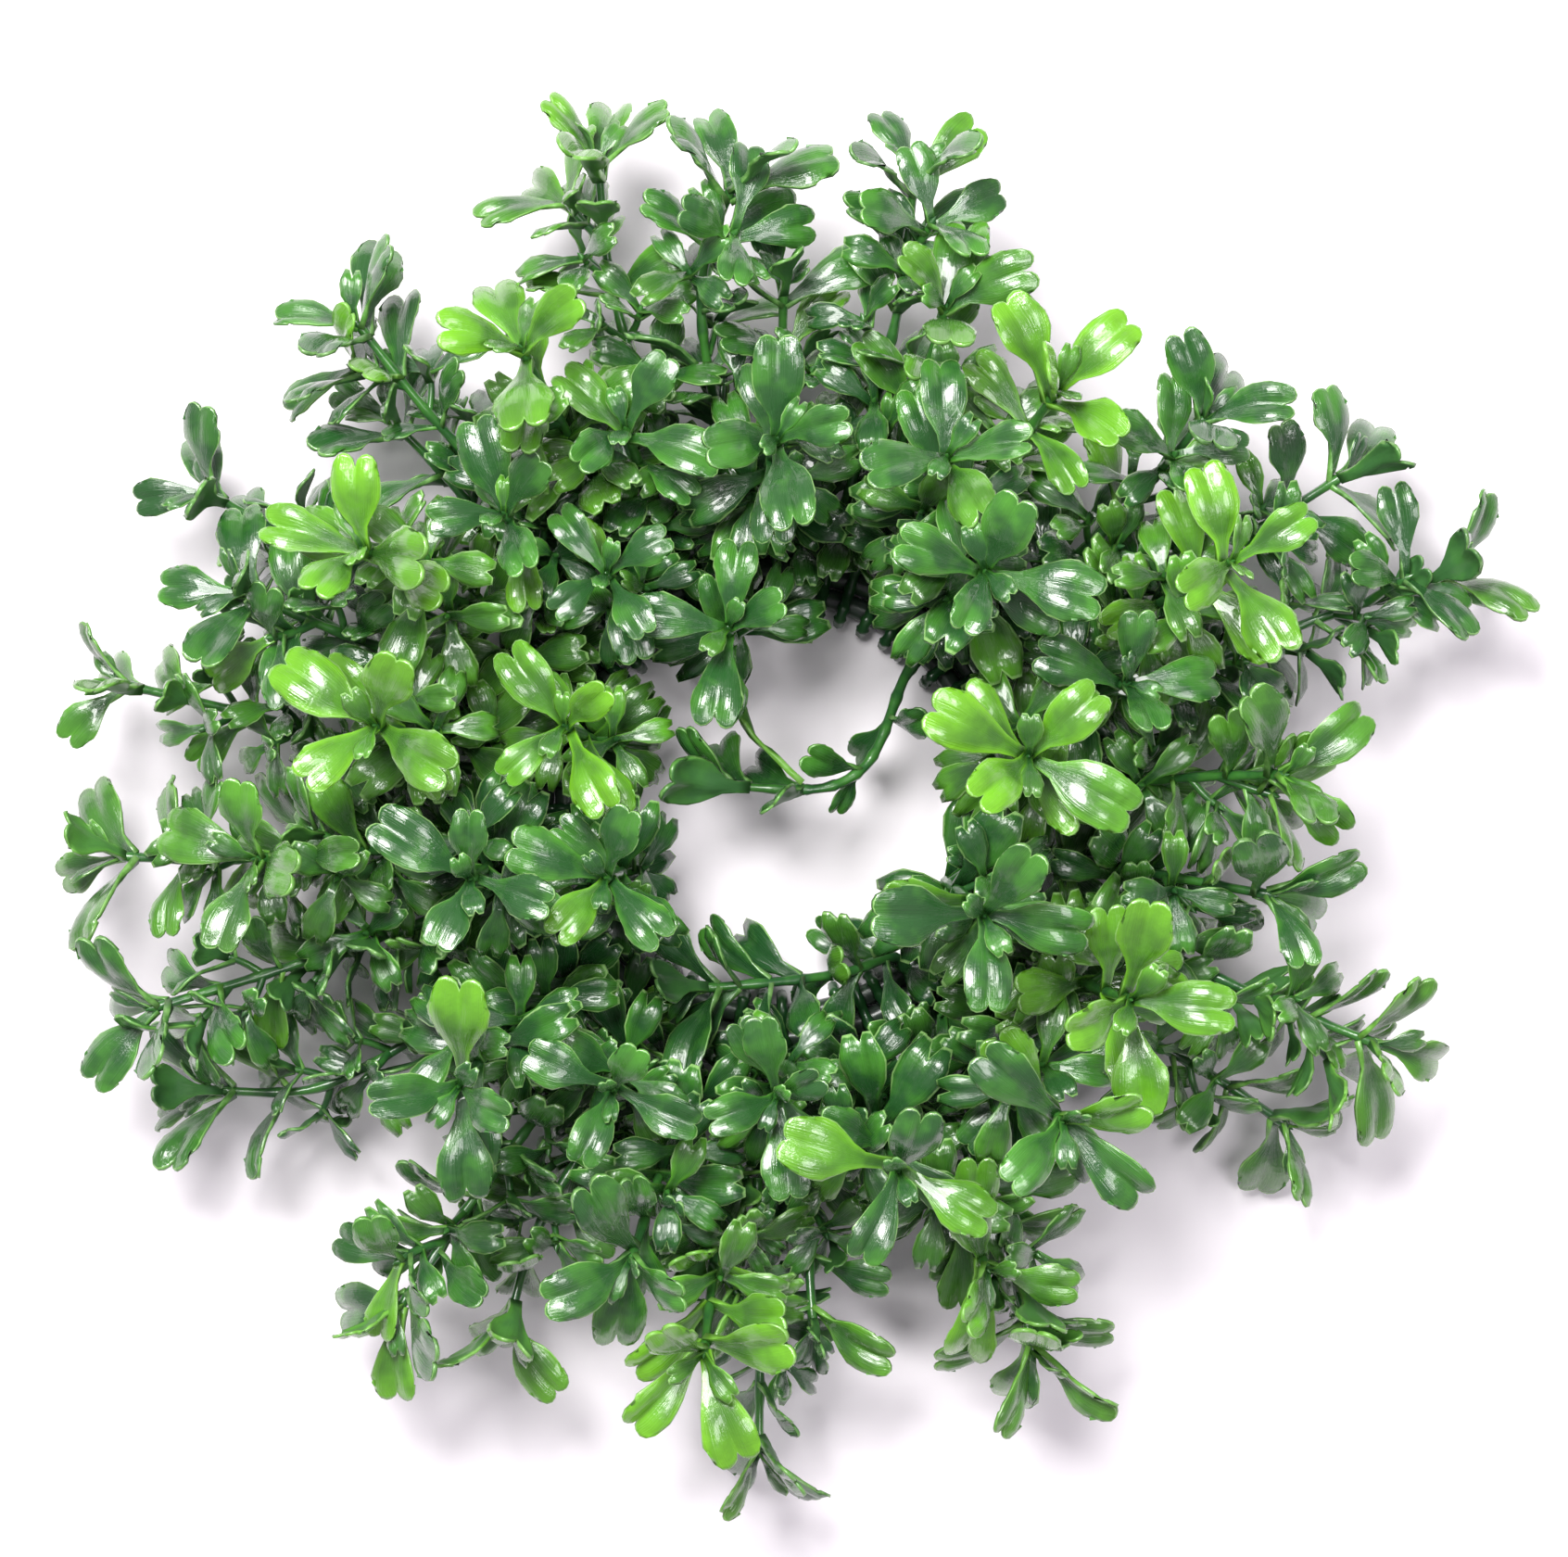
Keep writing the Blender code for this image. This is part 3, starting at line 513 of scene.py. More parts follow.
# %% The way of each stem
def on_ring(turn, reach, height):
    """A point at an angle round the ring, a reach outwards from the strands' middle, and a height."""
    return Vector((math.cos(turn), math.sin(turn), 0)) * (RING_RADIUS + reach) + UP * height


def heading_of(spray):
    turn = math.radians(spray.heading)
    lift = math.radians(spray.lift)
    return Vector((math.cos(turn) * math.cos(lift), math.sin(turn) * math.cos(lift), math.sin(lift)))


def stem_points(spray, base, bulge):
    """The saddle over the strands, then a curve to the bud. bulge is how far it swings out."""
    heading = heading_of(spray)
    end = Vector(spray.tip) * MM + heading * BUD
    inward = -1 if end.xy.length < RING_RADIUS else 1
    saddle = [
        on_ring(base, -inward * SADDLE_REACH, SADDLE_FOOT),
        on_ring(base, -inward * SADDLE_REACH, SADDLE_HEIGHT - SADDLE_CORNER_DOWN),
        on_ring(base, -inward * (SADDLE_REACH - SADDLE_CORNER_IN), SADDLE_HEIGHT),
        on_ring(base, inward * SADDLE_EXIT, SADDLE_HEIGHT),
    ]
    start = saddle[-1]
    if spray.via:
        through = [start, *(Vector(point) * MM for point in spray.via), end]
        count = 2 * (len(through) - 1)
        return saddle + [smooth_point(through, (step + 1) / 2) for step in range(count)]
    away = Vector((math.cos(base), math.sin(base), 0)) * inward
    far = (end - start).length
    lead = start + (away * math.cos(LIFT_OFF) + UP * math.sin(LIFT_OFF)) * far * bulge
    trail = end - heading * far * TIP_PULL
    shares = [(step + 1) / STEM_STEPS for step in range(STEM_STEPS)]
    return saddle + [bezier(start, lead, trail, end, share) for share in shares]


def make_stem(spray, base, bulge):
    points = stem_points(spray, base, bulge)
    ahead = (points[-1] - points[-2]).normalized()
    return Stem(points, rolled(ahead, math.radians(spray.roll)), STEM_RADIUS)


def rolled(ahead, roll):
    """A direction across a stem. On an upright stem, roll is its angle from +X as seen from above."""
    flat = Vector((math.cos(roll), math.sin(roll), 0))
    if abs(ahead.z) < UPRIGHT:
        side = ahead.cross(UP).normalized()
        flat = math.cos(roll) * side + math.sin(roll) * side.cross(ahead)
    return (flat - ahead * flat.dot(ahead)).normalized()


def at_distance(stem, back):
    """The point on a stem at a distance back from its end, and the directions ahead and across."""
    ahead, across = segment_frames(stem)
    for at in reversed(range(len(ahead))):
        reach = (stem.points[at + 1] - stem.points[at]).length
        if back <= reach or at == 0:
            return stem.points[at + 1] - ahead[at] * back, ahead[at], across[at]
        back -= reach


print("the first stem's end, mm:", in_mm(make_stem(SPRAYS[0], 0, BULGES[0]).points[-1]))

# %% [markdown]
# ## Room for every leaf
# Real leaves bend past each other. Physics could push them apart, but slowly and not as in the frame.
# Here a leaf that would cross another piece is turned or shrunk until it is clear. Blender's BVH
# trees tell quickly whether two small meshes cross.

# %% Room
def box_mesh(low, high):
    corners = [Vector(corner) for corner in product(*zip(low, high))]
    faces = [(0, 1, 3, 2), (4, 6, 7, 5), (0, 4, 5, 1), (2, 3, 7, 6), (0, 2, 6, 4), (1, 5, 7, 3)]
    return corners, faces


def obstacle(node, points, faces):
    low = [min(point[axis] for point in points) for axis in range(3)]
    high = [max(point[axis] for point in points) for axis in range(3)]
    return Obstacle(node, low, high, BVHTree.FromPolygons(points, faces))


def meets(first, second):
    for axis in range(3):
        if first.low[axis] > second.high[axis] or second.low[axis] > first.high[axis]:
            return False
    return bool(first.tree.overlap(second.tree))


def inside_opening(points):
    return any(
        all(low[axis] * MM < point[axis] < high[axis] * MM for axis in range(3))
        for low, high in OPENINGS for point in points
    )


def is_clear(test, others):
    return not any(meets(test, other) for other in others)


print("spaces kept clear in the hole:", len(OPENINGS))

# %% Stems that keep clear of each other
def spread_bases(sprays):
    """Base angles in the order of the tips' own angles, pushed apart until the saddles have room."""
    def own_angle(spray):
        first = spray.via[0] if spray.via else spray.tip
        return math.atan2(first[1], first[0]) % math.tau

    names = sorted(sprays, key=lambda name: own_angle(sprays[name]))
    angles = [own_angle(sprays[name]) for name in names]
    count = len(angles)
    for _ in range(SPREAD_ROUNDS):
        for index in range(count):
            after = (index + 1) % count
            gap = (angles[after] - angles[index]) % math.tau
            if gap > math.pi:
                gap -= math.tau
            if gap < BASE_SPACING:
                push = (BASE_SPACING - gap) / 2
                angles[index] -= push
                angles[after] += push
    return dict(zip(names, angles))


def plan_stems(sprays, strands):
    """The stem of each spray. One that would cross an earlier stem swings its curve another way."""
    bases = spread_bases(sprays)
    placed = []
    stems = {}
    for name, spray in sprays.items():
        for bulge in BULGES:
            stem = make_stem(spray, bases[name], bulge)
            if is_clear(obstacle(name, *tube(stem, CLEARANCE)), placed):
                break
        else:
            print(f"{name}: the stem still crosses another")
        stems[name] = stem
        placed.append(obstacle(name, *tube(stem)))
    return stems, placed + strands


print("feet are at least", round(math.degrees(BASE_SPACING), 1), "degrees apart round the ring")

# %% Forks
def fork_off(place, quarters, fork, length, roll, radius):
    """A short side stem. place is (point, ahead, across) on its stem. quarters is its side of it."""
    point, ahead, across = place
    away = Matrix.Rotation(quarters * math.pi / 2, 3, ahead) @ across
    toward = math.cos(fork) * ahead + math.sin(fork) * away
    bent = (toward + ahead * TWIG_BEND).normalized()
    middle = point + toward * length / 2
    return Stem([point, middle, middle + bent * length / 2], rolled(bent, roll), radius)


def plan_twigs(name, spray, stem, rng, obstacles):
    """Short forks below the end whorl, each out of a flat side of the stem."""
    twigs = []
    for index in range(spray.twigs):
        place = at_distance(stem, TWIG_PLACE + index * TIER_PITCH)
        sides = [0, 1, 2, 3]
        rng.shuffle(sides)
        for side in sides:
            twig = fork_off(place, side, TWIG_FORK, TWIG_LENGTH, math.radians(spray.roll), TWIG_RADIUS)
            others = [other for other in obstacles if other.node != name]
            if twig.points[1].z < TWIG_FLOOR or inside_opening(twig.points):
                continue
            if is_clear(obstacle(name, *tube(twig, CLEARANCE)), others):
                twigs.append(twig)
                obstacles.append(obstacle(name, *tube(twig)))
                break
    return twigs


print("sprays with a fork:", sum(spray.twigs > 0 for spray in SPRAYS))

# %% Leaf pairs
def pair_at(stem, back, quarters, tier, size, open_range):
    """A leaf pair at a distance back from a stem's end, turned by some quarters of a turn."""
    point, ahead, across = at_distance(stem, back)
    turned = Matrix.Rotation(quarters * math.pi / 2, 3, ahead) @ across
    return tier, point, ahead, turned, size, open_range


def leaf_pairs(spray, stem, twigs):
    """The pairs that the frame carries. The end whorl comes first."""
    pairs = [
        pair_at(stem, BUD + crossed * PAIR_STEP, crossed, 0, WHORL_SIZES[crossed], WHORL_OPEN[crossed])
        for crossed in range(2)
    ]
    pairs += [
        pair_at(twig, TWIG_BUD + crossed * PAIR_STEP, crossed, 1, TWIG_LEAF_SIZE, LOWER_OPEN)
        for twig in twigs for crossed in range(2)
    ]
    return pairs + [
        pair_at(stem, BUD + tier * TIER_PITCH, tier, tier, TIER_SIZES[tier], LOWER_OPEN)
        for tier in range(1, spray.tiers + 1)
    ]


def turn_to_light(ahead, out, opened, curl):
    """How far a leaf twists about its own length to face upwards. One that shows its back stays so."""
    angle = opened + curl * WIDEST
    forward = math.cos(angle) * ahead + math.sin(angle) * out
    normal = math.sin(angle) * ahead - math.cos(angle) * out
    turn = math.atan2(forward.cross(normal).z, normal.z)
    if abs(turn) > BACK_UP:
        return 0.0
    return max(-FACE_UP_LIMIT, min(FACE_UP_LIMIT, turn))


def grow_leaf(name, pair, opposite, spray, rng, obstacles, own):
    """The first of the turned and shrunk leaves that clears every other piece, or None."""
    _, point, ahead, across, share, open_range = pair
    size = spray.size * share * rng.uniform(*SIZE_RANGE)
    roll = math.pi * opposite + math.radians(rng.uniform(*ROLL_RANGE))
    opened = math.radians(rng.uniform(*open_range))
    curl = math.radians(rng.uniform(*CURL_RANGE))
    to_light = turn_to_light(ahead, Matrix.Rotation(roll, 3, ahead) @ across, opened, curl)
    twist = math.radians(rng.uniform(*TWIST_RANGE)) + to_light * rng.uniform(*FACE_UP_SHARE)
    curl *= 1 - FLATTER_WHEN_TURNED * abs(to_light) / FACE_UP_LIMIT
    for shrink in SHRINKS:
        for turn, further in TURNS:
            out = Matrix.Rotation(roll + math.radians(turn), 3, ahead) @ across
            leaf = Leaf(
                point, ahead, out, LEAF_LENGTH * size * shrink, LEAF_WIDTH * size * shrink,
                opened + math.radians(further), curl, twist,
            )
            fat_points, _ = leaf_mesh(leaf, CLEARANCE)
            if min(corner.z for corner in fat_points) < FLOOR_CLEARANCE or inside_opening(fat_points):
                continue
            whole = obstacle(name, fat_points, LEAF_FACES)
            if not is_clear(whole, [other for other in obstacles if other.node != name]):
                continue
            if is_clear(obstacle(name, fat_points, BLADE_FACES), own[name]):
                return leaf
    return None


print("leaves asked for at the whorls:", 4 * (len(SPRAYS) + len(BY_THE_HOLE)))

# %% [markdown]
# ## The plan of the whole wreath
# This repeats the frame's own plan, so that each plain leaf there gets a finer one in its place. The
# leaves at the tips choose their places first, as they are the ones that show most. The draw of each
# spray is seeded by its name, so the plan is the same each time.

# %% The plan
def plan_wreath(sprays):
    """Stems, twigs and leaves of every spray, by its name."""
    strands = [
        obstacle(name, *ring_tube(RING_RADIUS + place * STRAND_PITCH, STRAND_HALF_HEIGHT))
        for name, place in STRANDS.items()
    ]
    stems, obstacles = plan_stems(sprays, strands)
    for low, high in OPENINGS:
        obstacles.append(obstacle("opening", *box_mesh(Vector(low) * MM, Vector(high) * MM)))
    draws = {name: random.Random(name) for name in sprays}
    twigs = {}
    pairs = {}
    own = {}
    for name, spray in sprays.items():
        twigs[name] = plan_twigs(name, spray, stems[name], draws[name], obstacles)
        pairs[name] = leaf_pairs(spray, stems[name], twigs[name])
        own[name] = [piece for piece in obstacles if piece.node == name]
    leaves = {name: [] for name in sprays}
    dropped = 0
    for tier in range(len(TIER_SIZES)):
        for name, spray in sprays.items():
            for pair in pairs[name]:
                if pair[0] != tier:
                    continue
                for opposite in range(2):
                    leaf = grow_leaf(name, pair, opposite, spray, draws[name], obstacles, own)
                    if leaf is None:
                        dropped += 1
                        continue
                    points, faces = leaf_mesh(leaf)
                    leaves[name].append(leaf)
                    own[name].append(obstacle(name, points, BLADE_FACES))
                    obstacles.append(obstacle(name, points, faces))
    print(sum(map(len, leaves.values())), "leaves placed,", dropped, "left out for want of room")
    return stems, twigs, leaves, obstacles


sprays = {f"spray_{number:02d}": spray for number, spray in enumerate(SPRAYS, 1)} | BY_THE_HOLE
stems, twigs, leaves, obstacles = plan_wreath(sprays)

# %% [markdown]
# ## The rest of the leaves
# The frame carries the leaves that give the wreath its form. The real wreath is denser: more pairs
# sit between those and below them, and short shoots fill the middle. A particle system could scatter
# leaves, but it knows nothing of room. They are added here by the same test for room, with arrays of
# boxes that find the few pieces near a new leaf at once.

# %% Finding near pieces quickly
class Crowd:
    """Every piece placed so far, with all their boxes in two arrays."""

    def __init__(self, pieces):
        self.pieces = list(pieces)
        self.lows = np.array([piece.low for piece in self.pieces])
        self.highs = np.array([piece.high for piece in self.pieces])

    def add(self, piece):
        self.pieces.append(piece)
        self.lows = np.vstack([self.lows, piece.low])
        self.highs = np.vstack([self.highs, piece.high])

    def near(self, point, reach):
        place = np.array(point)
        close = (self.lows < place + reach).all(axis=1) & (self.highs > place - reach).all(axis=1)
        return [self.pieces[index] for index in np.flatnonzero(close)]


crowd = Crowd(obstacles)
own_blades = {
    name: [piece for piece in obstacles[:len(sprays)] if piece.node == name]
    + [obstacle(name, *tube(twig)) for twig in twigs[name]]
    + [obstacle(name, leaf_mesh(leaf)[0], BLADE_FACES) for leaf in leaves[name]]
    for name in sprays
}
print("pieces in the crowd:", len(crowd.pieces))

# %% Shoots: short side stems, each with a small whorl
SHOOT_RADIUS = 0.7 * MM
SHOOT_LENGTH = 8.5 * MM
SHOOT_FORK = math.radians(50)
SHOOT_PLACES = (21 * MM, 32 * MM, 43 * MM, 54 * MM)
SHOOT_LEAF_SIZE = 0.62
SHOOT_PAIR_STEP = 1.4 * MM
TWIG_FILL_PLACE = 0.55
ROOM_FOR_LEAF = 18 * MM
STEM_CLEAR = 15 * MM


def stem_length(stem):
    return sum((after - before).length for before, after in zip(stem.points, stem.points[1:]))


def plan_shoots(name, stem, rng):
    """Side stems at set distances below the tip, out of the stem's edges where there is room."""
    shoots = []
    for back in SHOOT_PLACES:
        if back > stem_length(stem) - STEM_CLEAR:
            break
        place = at_distance(stem, back)
        for side in rng.sample(range(4), 4)[:2]:
            roll = rng.uniform(0, math.pi / 2)
            shoot = fork_off(place, side + 0.5, SHOOT_FORK, SHOOT_LENGTH, roll, SHOOT_RADIUS)
            if min(point.z for point in shoot.points) < TWIG_FLOOR or inside_opening(shoot.points):
                continue
            near = crowd.near(shoot.points[1], ROOM_FOR_LEAF)
            others = [piece for piece in near if piece.node != name]
            if is_clear(obstacle(name, *tube(shoot, CLEARANCE)), others):
                shoots.append(shoot)
                crowd.add(obstacle(name, *tube(shoot)))
                own_blades[name].append(crowd.pieces[-1])
    return shoots


draws = {name: random.Random(name + " fill") for name in sprays}
shoots = {
    name: [] if name in BY_THE_HOLE else plan_shoots(name, stems[name], draws[name])
    for name in sprays
}
print("shoots:", sum(map(len, shoots.values())))

# %% Small leaves between the large ones
FILL_SIZE = 0.86
BUDDING_SIZE = 0.45
BUDDING_OPEN = (18, 40)
LOW_LIFT = 30
OPEN_LENGTH_LOW = 36 * MM
OPEN_LENGTH_UPRIGHT = 26 * MM
cad_low = cad_box[0] - RING_CENTRE
cad_high = cad_box[1] - RING_CENTRE


def filling_pairs(name, spray, stem):
    """Places for small leaves: at the tip, on forks and shoots, and between the frame's pairs."""
    pairs = [pair_at(stem, BUD / 2, 0.5, 1, BUDDING_SIZE, BUDDING_OPEN)]
    pairs += [
        pair_at(twig, TWIG_LENGTH * TWIG_FILL_PLACE, 0.5, 1, SHOOT_LEAF_SIZE, LOWER_OPEN)
        for twig in twigs[name]
    ]
    pairs += [
        pair_at(shoot, TWIG_BUD + crossed * SHOOT_PAIR_STEP, crossed, 1, SHOOT_LEAF_SIZE, LOWER_OPEN)
        for shoot in shoots[name] for crossed in range(2)
    ]
    half_step = 1
    back = BUD + TIER_PITCH / 2
    crowded_from = OPEN_LENGTH_LOW if spray.lift < LOW_LIFT else OPEN_LENGTH_UPRIGHT
    if name in BY_THE_HOLE:
        crowded_from = 0
    while back < stem_length(stem) - STEM_CLEAR:
        between_pairs = half_step % 2 == 1
        below_them_all = half_step // 2 > spray.tiers
        if below_them_all or between_pairs and back > crowded_from:
            pairs.append(pair_at(stem, back, half_step / 2, half_step, FILL_SIZE, LOWER_OPEN))
        half_step += 1
        back += TIER_PITCH / 2
    return pairs


def inside_frame(points):
    return all(cad_low[axis] <= point[axis] <= cad_high[axis] for point in points for axis in range(3))


def fill(name, spray, pair):
    """Up to two more leaves at a pair's place, where there is room."""
    grown = []
    for opposite in range(2):
        near = crowd.near(pair[1], ROOM_FOR_LEAF)
        mine = {name: own_blades[name]}
        leaf = grow_leaf(name, pair, opposite, spray, draws[name], near, mine)
        if leaf is None or not inside_frame(leaf_mesh(leaf)[0]):
            continue
        points, faces = leaf_mesh(leaf)
        crowd.add(obstacle(name, points, faces))
        own_blades[name].append(obstacle(name, points, BLADE_FACES))
        grown.append(leaf)
    return grown


fillers = {name: [] for name in sprays}
places = {
    name: filling_pairs(name, spray, stems[name])
    for name, spray in sprays.items() if name != "sprig_across_hole"
}
for turn in range(max(map(len, places.values()))):
    for name, pairs in places.items():
        if turn < len(pairs):
            fillers[name] += fill(name, sprays[name], pairs[turn])
print("small leaves:", sum(map(len, fillers.values())))

# %% A thin leaf over the hole
# The photograph shows one leaf of the sprig from its edge, curling away to the upper left.
EDGE_ON_LEAF = Leaf(
    root=Vector((4.0, 3.2, 24.6)) * MM, axis=Vector((-1, 0.05, 0)).normalized(),
    out=Vector((0.05, 1, 0)).normalized(), length=19 * MM, width=7.5 * MM,
    open=math.radians(37), curl=math.radians(30), twist=0,
)
leaves["sprig_across_hole"].append(EDGE_ON_LEAF)
print("leaves on the sprig:", len(leaves["sprig_across_hole"]))

# %% [markdown]
# ## Helpers for shader nodes
# A finish is a set of nodes. They could be placed by hand in the Shader Editor, but in code each
# value can be read and changed in one place. `add_node` makes one node and fills its inputs: a socket
# given as a value is linked, and anything else is set on the input itself.

# %% Node helpers
def add_node(tree, kind, settings=None, **inputs):
    made = tree.nodes.new("ShaderNode" + kind)
    for name, value in (settings or {}).items():
        setattr(made, name, value)
    for name, value in inputs.items():
        feed(tree, made.inputs[name.replace("_", " ")], value)
    return made


def feed(tree, socket, value):
    if isinstance(value, bpy.types.NodeSocket):
        tree.links.new(value, socket)
    else:
        socket.default_value = value


def calculate(tree, operation, *values, clamp=False):
    """A Math node on two or three values or sockets."""
    made = add_node(tree, "Math", {"operation": operation, "use_clamp": clamp})
    for socket, value in zip(made.inputs, values):
        feed(tree, socket, value)
    return made.outputs[0]


def remap(tree, value, start, end, low=0.0, high=1.0):
    """A smooth step from low to high as value goes from start to end."""
    made = add_node(tree, "MapRange", {"interpolation_type": "SMOOTHSTEP"}, Value=value)
    made.inputs["From Min"].default_value = start
    made.inputs["From Max"].default_value = end
    made.inputs["To Min"].default_value = low
    made.inputs["To Max"].default_value = high
    return made.outputs["Result"]


def blend_colours(tree, share, first, second):
    made = add_node(tree, "Mix", {"data_type": "RGBA", "clamp_factor": True})
    feed(tree, made.inputs["Factor"], share)
    feed(tree, made.inputs[6], first)
    feed(tree, made.inputs[7], second)
    return made.outputs[2]


print("ready: helpers that add nodes, calculate, remap and blend colours")

# %% [markdown]
# ## Materials
# The leaves are glossy polyethylene, dyed in the mass. Painted pictures could give their colour, but
# an effect made of nodes stays sharp at any distance and needs no file. The effects that more than
# one finish uses are node groups: fine lines along a leaf, cloudy colour from the moulding, and the
# pale flash round its edge.

# %% Shared effects
def new_group(name, inputs, output):
    tree = bpy.data.node_groups.new(name, "ShaderNodeTree")
    for title, value in inputs.items():
        socket = tree.interface.new_socket(title, in_out="INPUT", socket_type="NodeSocketFloat")
        socket.default_value = value
    tree.interface.new_socket(output, in_out="OUTPUT", socket_type="NodeSocketFloat")
    entry = tree.nodes.new("NodeGroupInput")
    leave = tree.nodes.new("NodeGroupOutput")
    return tree, entry.outputs, leave.inputs[output]


def leaf_place(tree):
    """How far along a leaf a point is, and how far across it: 0 at its middle and 1 at its edge."""
    unwrapped = add_node(tree, "UVMap", {"uv_map": "UVMap"})
    place = add_node(tree, "SeparateXYZ", Vector=unwrapped.outputs["UV"])
    centred = calculate(tree, "SUBTRACT", place.outputs["X"], 0.5)
    return place, calculate(tree, "MULTIPLY", calculate(tree, "ABSOLUTE", centred), 2.0)


def fine_noise(tree, scale, detail, **settings):
    """Noise that is fixed to the wreath's own coordinates."""
    place = add_node(tree, "TexCoord").outputs["Object"]
    noise = add_node(tree, "TexNoise", Vector=place, Scale=scale, Detail=detail, **settings)
    return noise.outputs["Fac"]


# %% Fine lines along a leaf
LINES_ALONG = 2.2
SEED_STEP = 40.0
fine_lines, entry, leave = new_group("fine_lines", {"Lines": 26.0, "Seed": 0.0}, "Height")
place, _ = leaf_place(fine_lines)
stretched = add_node(
    fine_lines, "CombineXYZ",
    X=calculate(fine_lines, "MULTIPLY", place.outputs["X"], entry["Lines"]),
    Y=calculate(fine_lines, "MULTIPLY", place.outputs["Y"], LINES_ALONG),
    Z=calculate(fine_lines, "MULTIPLY", entry["Seed"], SEED_STEP),
)
noise = add_node(fine_lines, "TexNoise", Vector=stretched.outputs["Vector"], Scale=1.0, Detail=2.0)
fine_lines.links.new(noise.outputs["Fac"], leave)
print("effect:", fine_lines.name)

# %% Cloudy colour
CLOUD_EDGES = (0.33, 0.67)
cloudy, entry, leave = new_group("moulding_cloud", {"Scale": 160.0}, "Mask")
noise = fine_noise(cloudy, entry["Scale"], detail=2.5, Roughness=0.55)
cloudy.links.new(remap(cloudy, noise, *CLOUD_EDGES), leave)
print("effect:", cloudy.name)

# %% The flash line round a leaf
# Where it starts and where it is full, as shares of the way to the side, to the end and up the leaf
FLASH_AT_SIDE = (0.905, 0.955)
FLASH_AT_END = (0.955, 0.985)
FLASH_FROM_NECK = (0.3, 0.42)
FLASH_WANDER = 0.06
flash_line, entry, leave = new_group("flash_line", {}, "Mask")
place, across = leaf_place(flash_line)
ragged = calculate(flash_line, "SUBTRACT", fine_noise(flash_line, scale=900.0, detail=1.0), 0.5)
wander = calculate(flash_line, "MULTIPLY", ragged, FLASH_WANDER)
sides = remap(flash_line, calculate(flash_line, "ADD", across, wander), *FLASH_AT_SIDE)
end = remap(flash_line, calculate(flash_line, "ADD", place.outputs["Y"], wander), *FLASH_AT_END)
blade = remap(flash_line, place.outputs["Y"], *FLASH_FROM_NECK)
rim = calculate(flash_line, "MAXIMUM", sides, end)
flash_line.links.new(calculate(flash_line, "MULTIPLY", rim, blade), leave)
print("effect:", flash_line.name)

# %% Colours, as the photograph shows them
DEEP = (0.0155, 0.077, 0.0175, 1)
FRESH = (0.08, 0.31, 0.026, 1)
LIME = (0.19, 0.5, 0.014, 1)
# Painted shade: the dark green that low leaves and stems are blended towards
PAINTED_SHADE_GREEN = (0.006, 0.04, 0.014, 1)
FLASH = (0.31, 0.56, 0.18, 1)
UNDERSIDE = (0.07, 0.2, 0.06, 1)
STRAND = (0.03, 0.042, 0.034, 1)
print("a leaf's colours run from", PAINTED_SHADE_GREEN[:3], "to", FLASH[:3])

# %% Making a finish
COAT_ROUGHNESS = 0.05


def use_effect(tree, effect, **inputs):
    made = tree.nodes.new("ShaderNodeGroup")
    made.node_tree = effect
    for name, value in inputs.items():
        feed(tree, made.inputs[name], value)
    return made.outputs[0]


def new_material(name, roughness, coat):
    made = bpy.data.materials.new(name)
    made.use_nodes = True
    shader = made.node_tree.nodes["Principled BSDF"]
    shader.inputs["Roughness"].default_value = roughness
    shader.inputs["Coat Weight"].default_value = coat
    shader.inputs["Coat Roughness"].default_value = COAT_ROUGHNESS
    return made, made.node_tree, shader


def raise_bumps(tree, shader, height, strength, distance):
    bump = add_node(tree, "Bump", Strength=strength, Distance=distance, Height=height)
    feed(tree, shader.inputs["Normal"], bump.outputs["Normal"])


print("ready: helpers for the finishes")

# %% A leaf's colour, from its neck to its tip
TIP_FROM = 0.3
TIP_SHARE = 0.6
RIM_FROM = 0.35
RIM_SHARE = 0.7
PATCHY_SHARE = 0.5
OWN_FRESH = (0.75, 0.15)
LIME_REACH = (0.9, 0.25)
LIME_PATCHY = 0.4


def tint_parts(tree):
    """The leaf's own share of lime, its seed and its painted shade, from its tint attribute."""
    tint = add_node(tree, "Attribute", {"attribute_name": "tint"})
    parts = add_node(tree, "SeparateColor", Color=tint.outputs["Color"])
    return parts.outputs["Red"], parts.outputs["Green"], parts.outputs["Blue"]


def leaf_colour(tree):
    """Dark at the neck and in the middle, fresher to the edge and the tip, lime where the leaf is lime,
    and darkened by painted shade where it sits low. The leaf's seed comes with it."""
    lime, seed, shade = tint_parts(tree)
    place, across = leaf_place(tree)
    cloud = use_effect(tree, cloudy, Scale=150.0)
    tip = calculate(tree, "MULTIPLY", remap(tree, place.outputs["Y"], TIP_FROM, 1.0), TIP_SHARE)
    rim = calculate(tree, "MULTIPLY", remap(tree, across, RIM_FROM, 1.0), RIM_SHARE)
    outward = calculate(tree, "MAXIMUM", tip, rim)
    patchy = calculate(tree, "MULTIPLY", calculate(tree, "SUBTRACT", cloud, 0.5), PATCHY_SHARE)
    own_share = calculate(tree, "MULTIPLY_ADD", seed, *OWN_FRESH)
    own_fresh = calculate(tree, "MULTIPLY", outward, own_share)
    fresh_share = calculate(tree, "ADD", own_fresh, patchy, clamp=True)
    body = blend_colours(tree, fresh_share, DEEP, FRESH)
    lime_reach = calculate(tree, "MULTIPLY_ADD", outward, *LIME_REACH)
    lime_place = calculate(tree, "MULTIPLY_ADD", patchy, LIME_PATCHY, lime_reach)
    lime_share = calculate(tree, "MULTIPLY", lime, lime_place, clamp=True)
    body = blend_colours(tree, lime_share, body, LIME)
    # Painted shade: the leaf is blended towards dark green by its shade share
    return blend_colours(tree, shade, body, PAINTED_SHADE_GREEN), seed


print("the tip's share of fresh colour:", TIP_SHARE, "and the rim's:", RIM_SHARE)

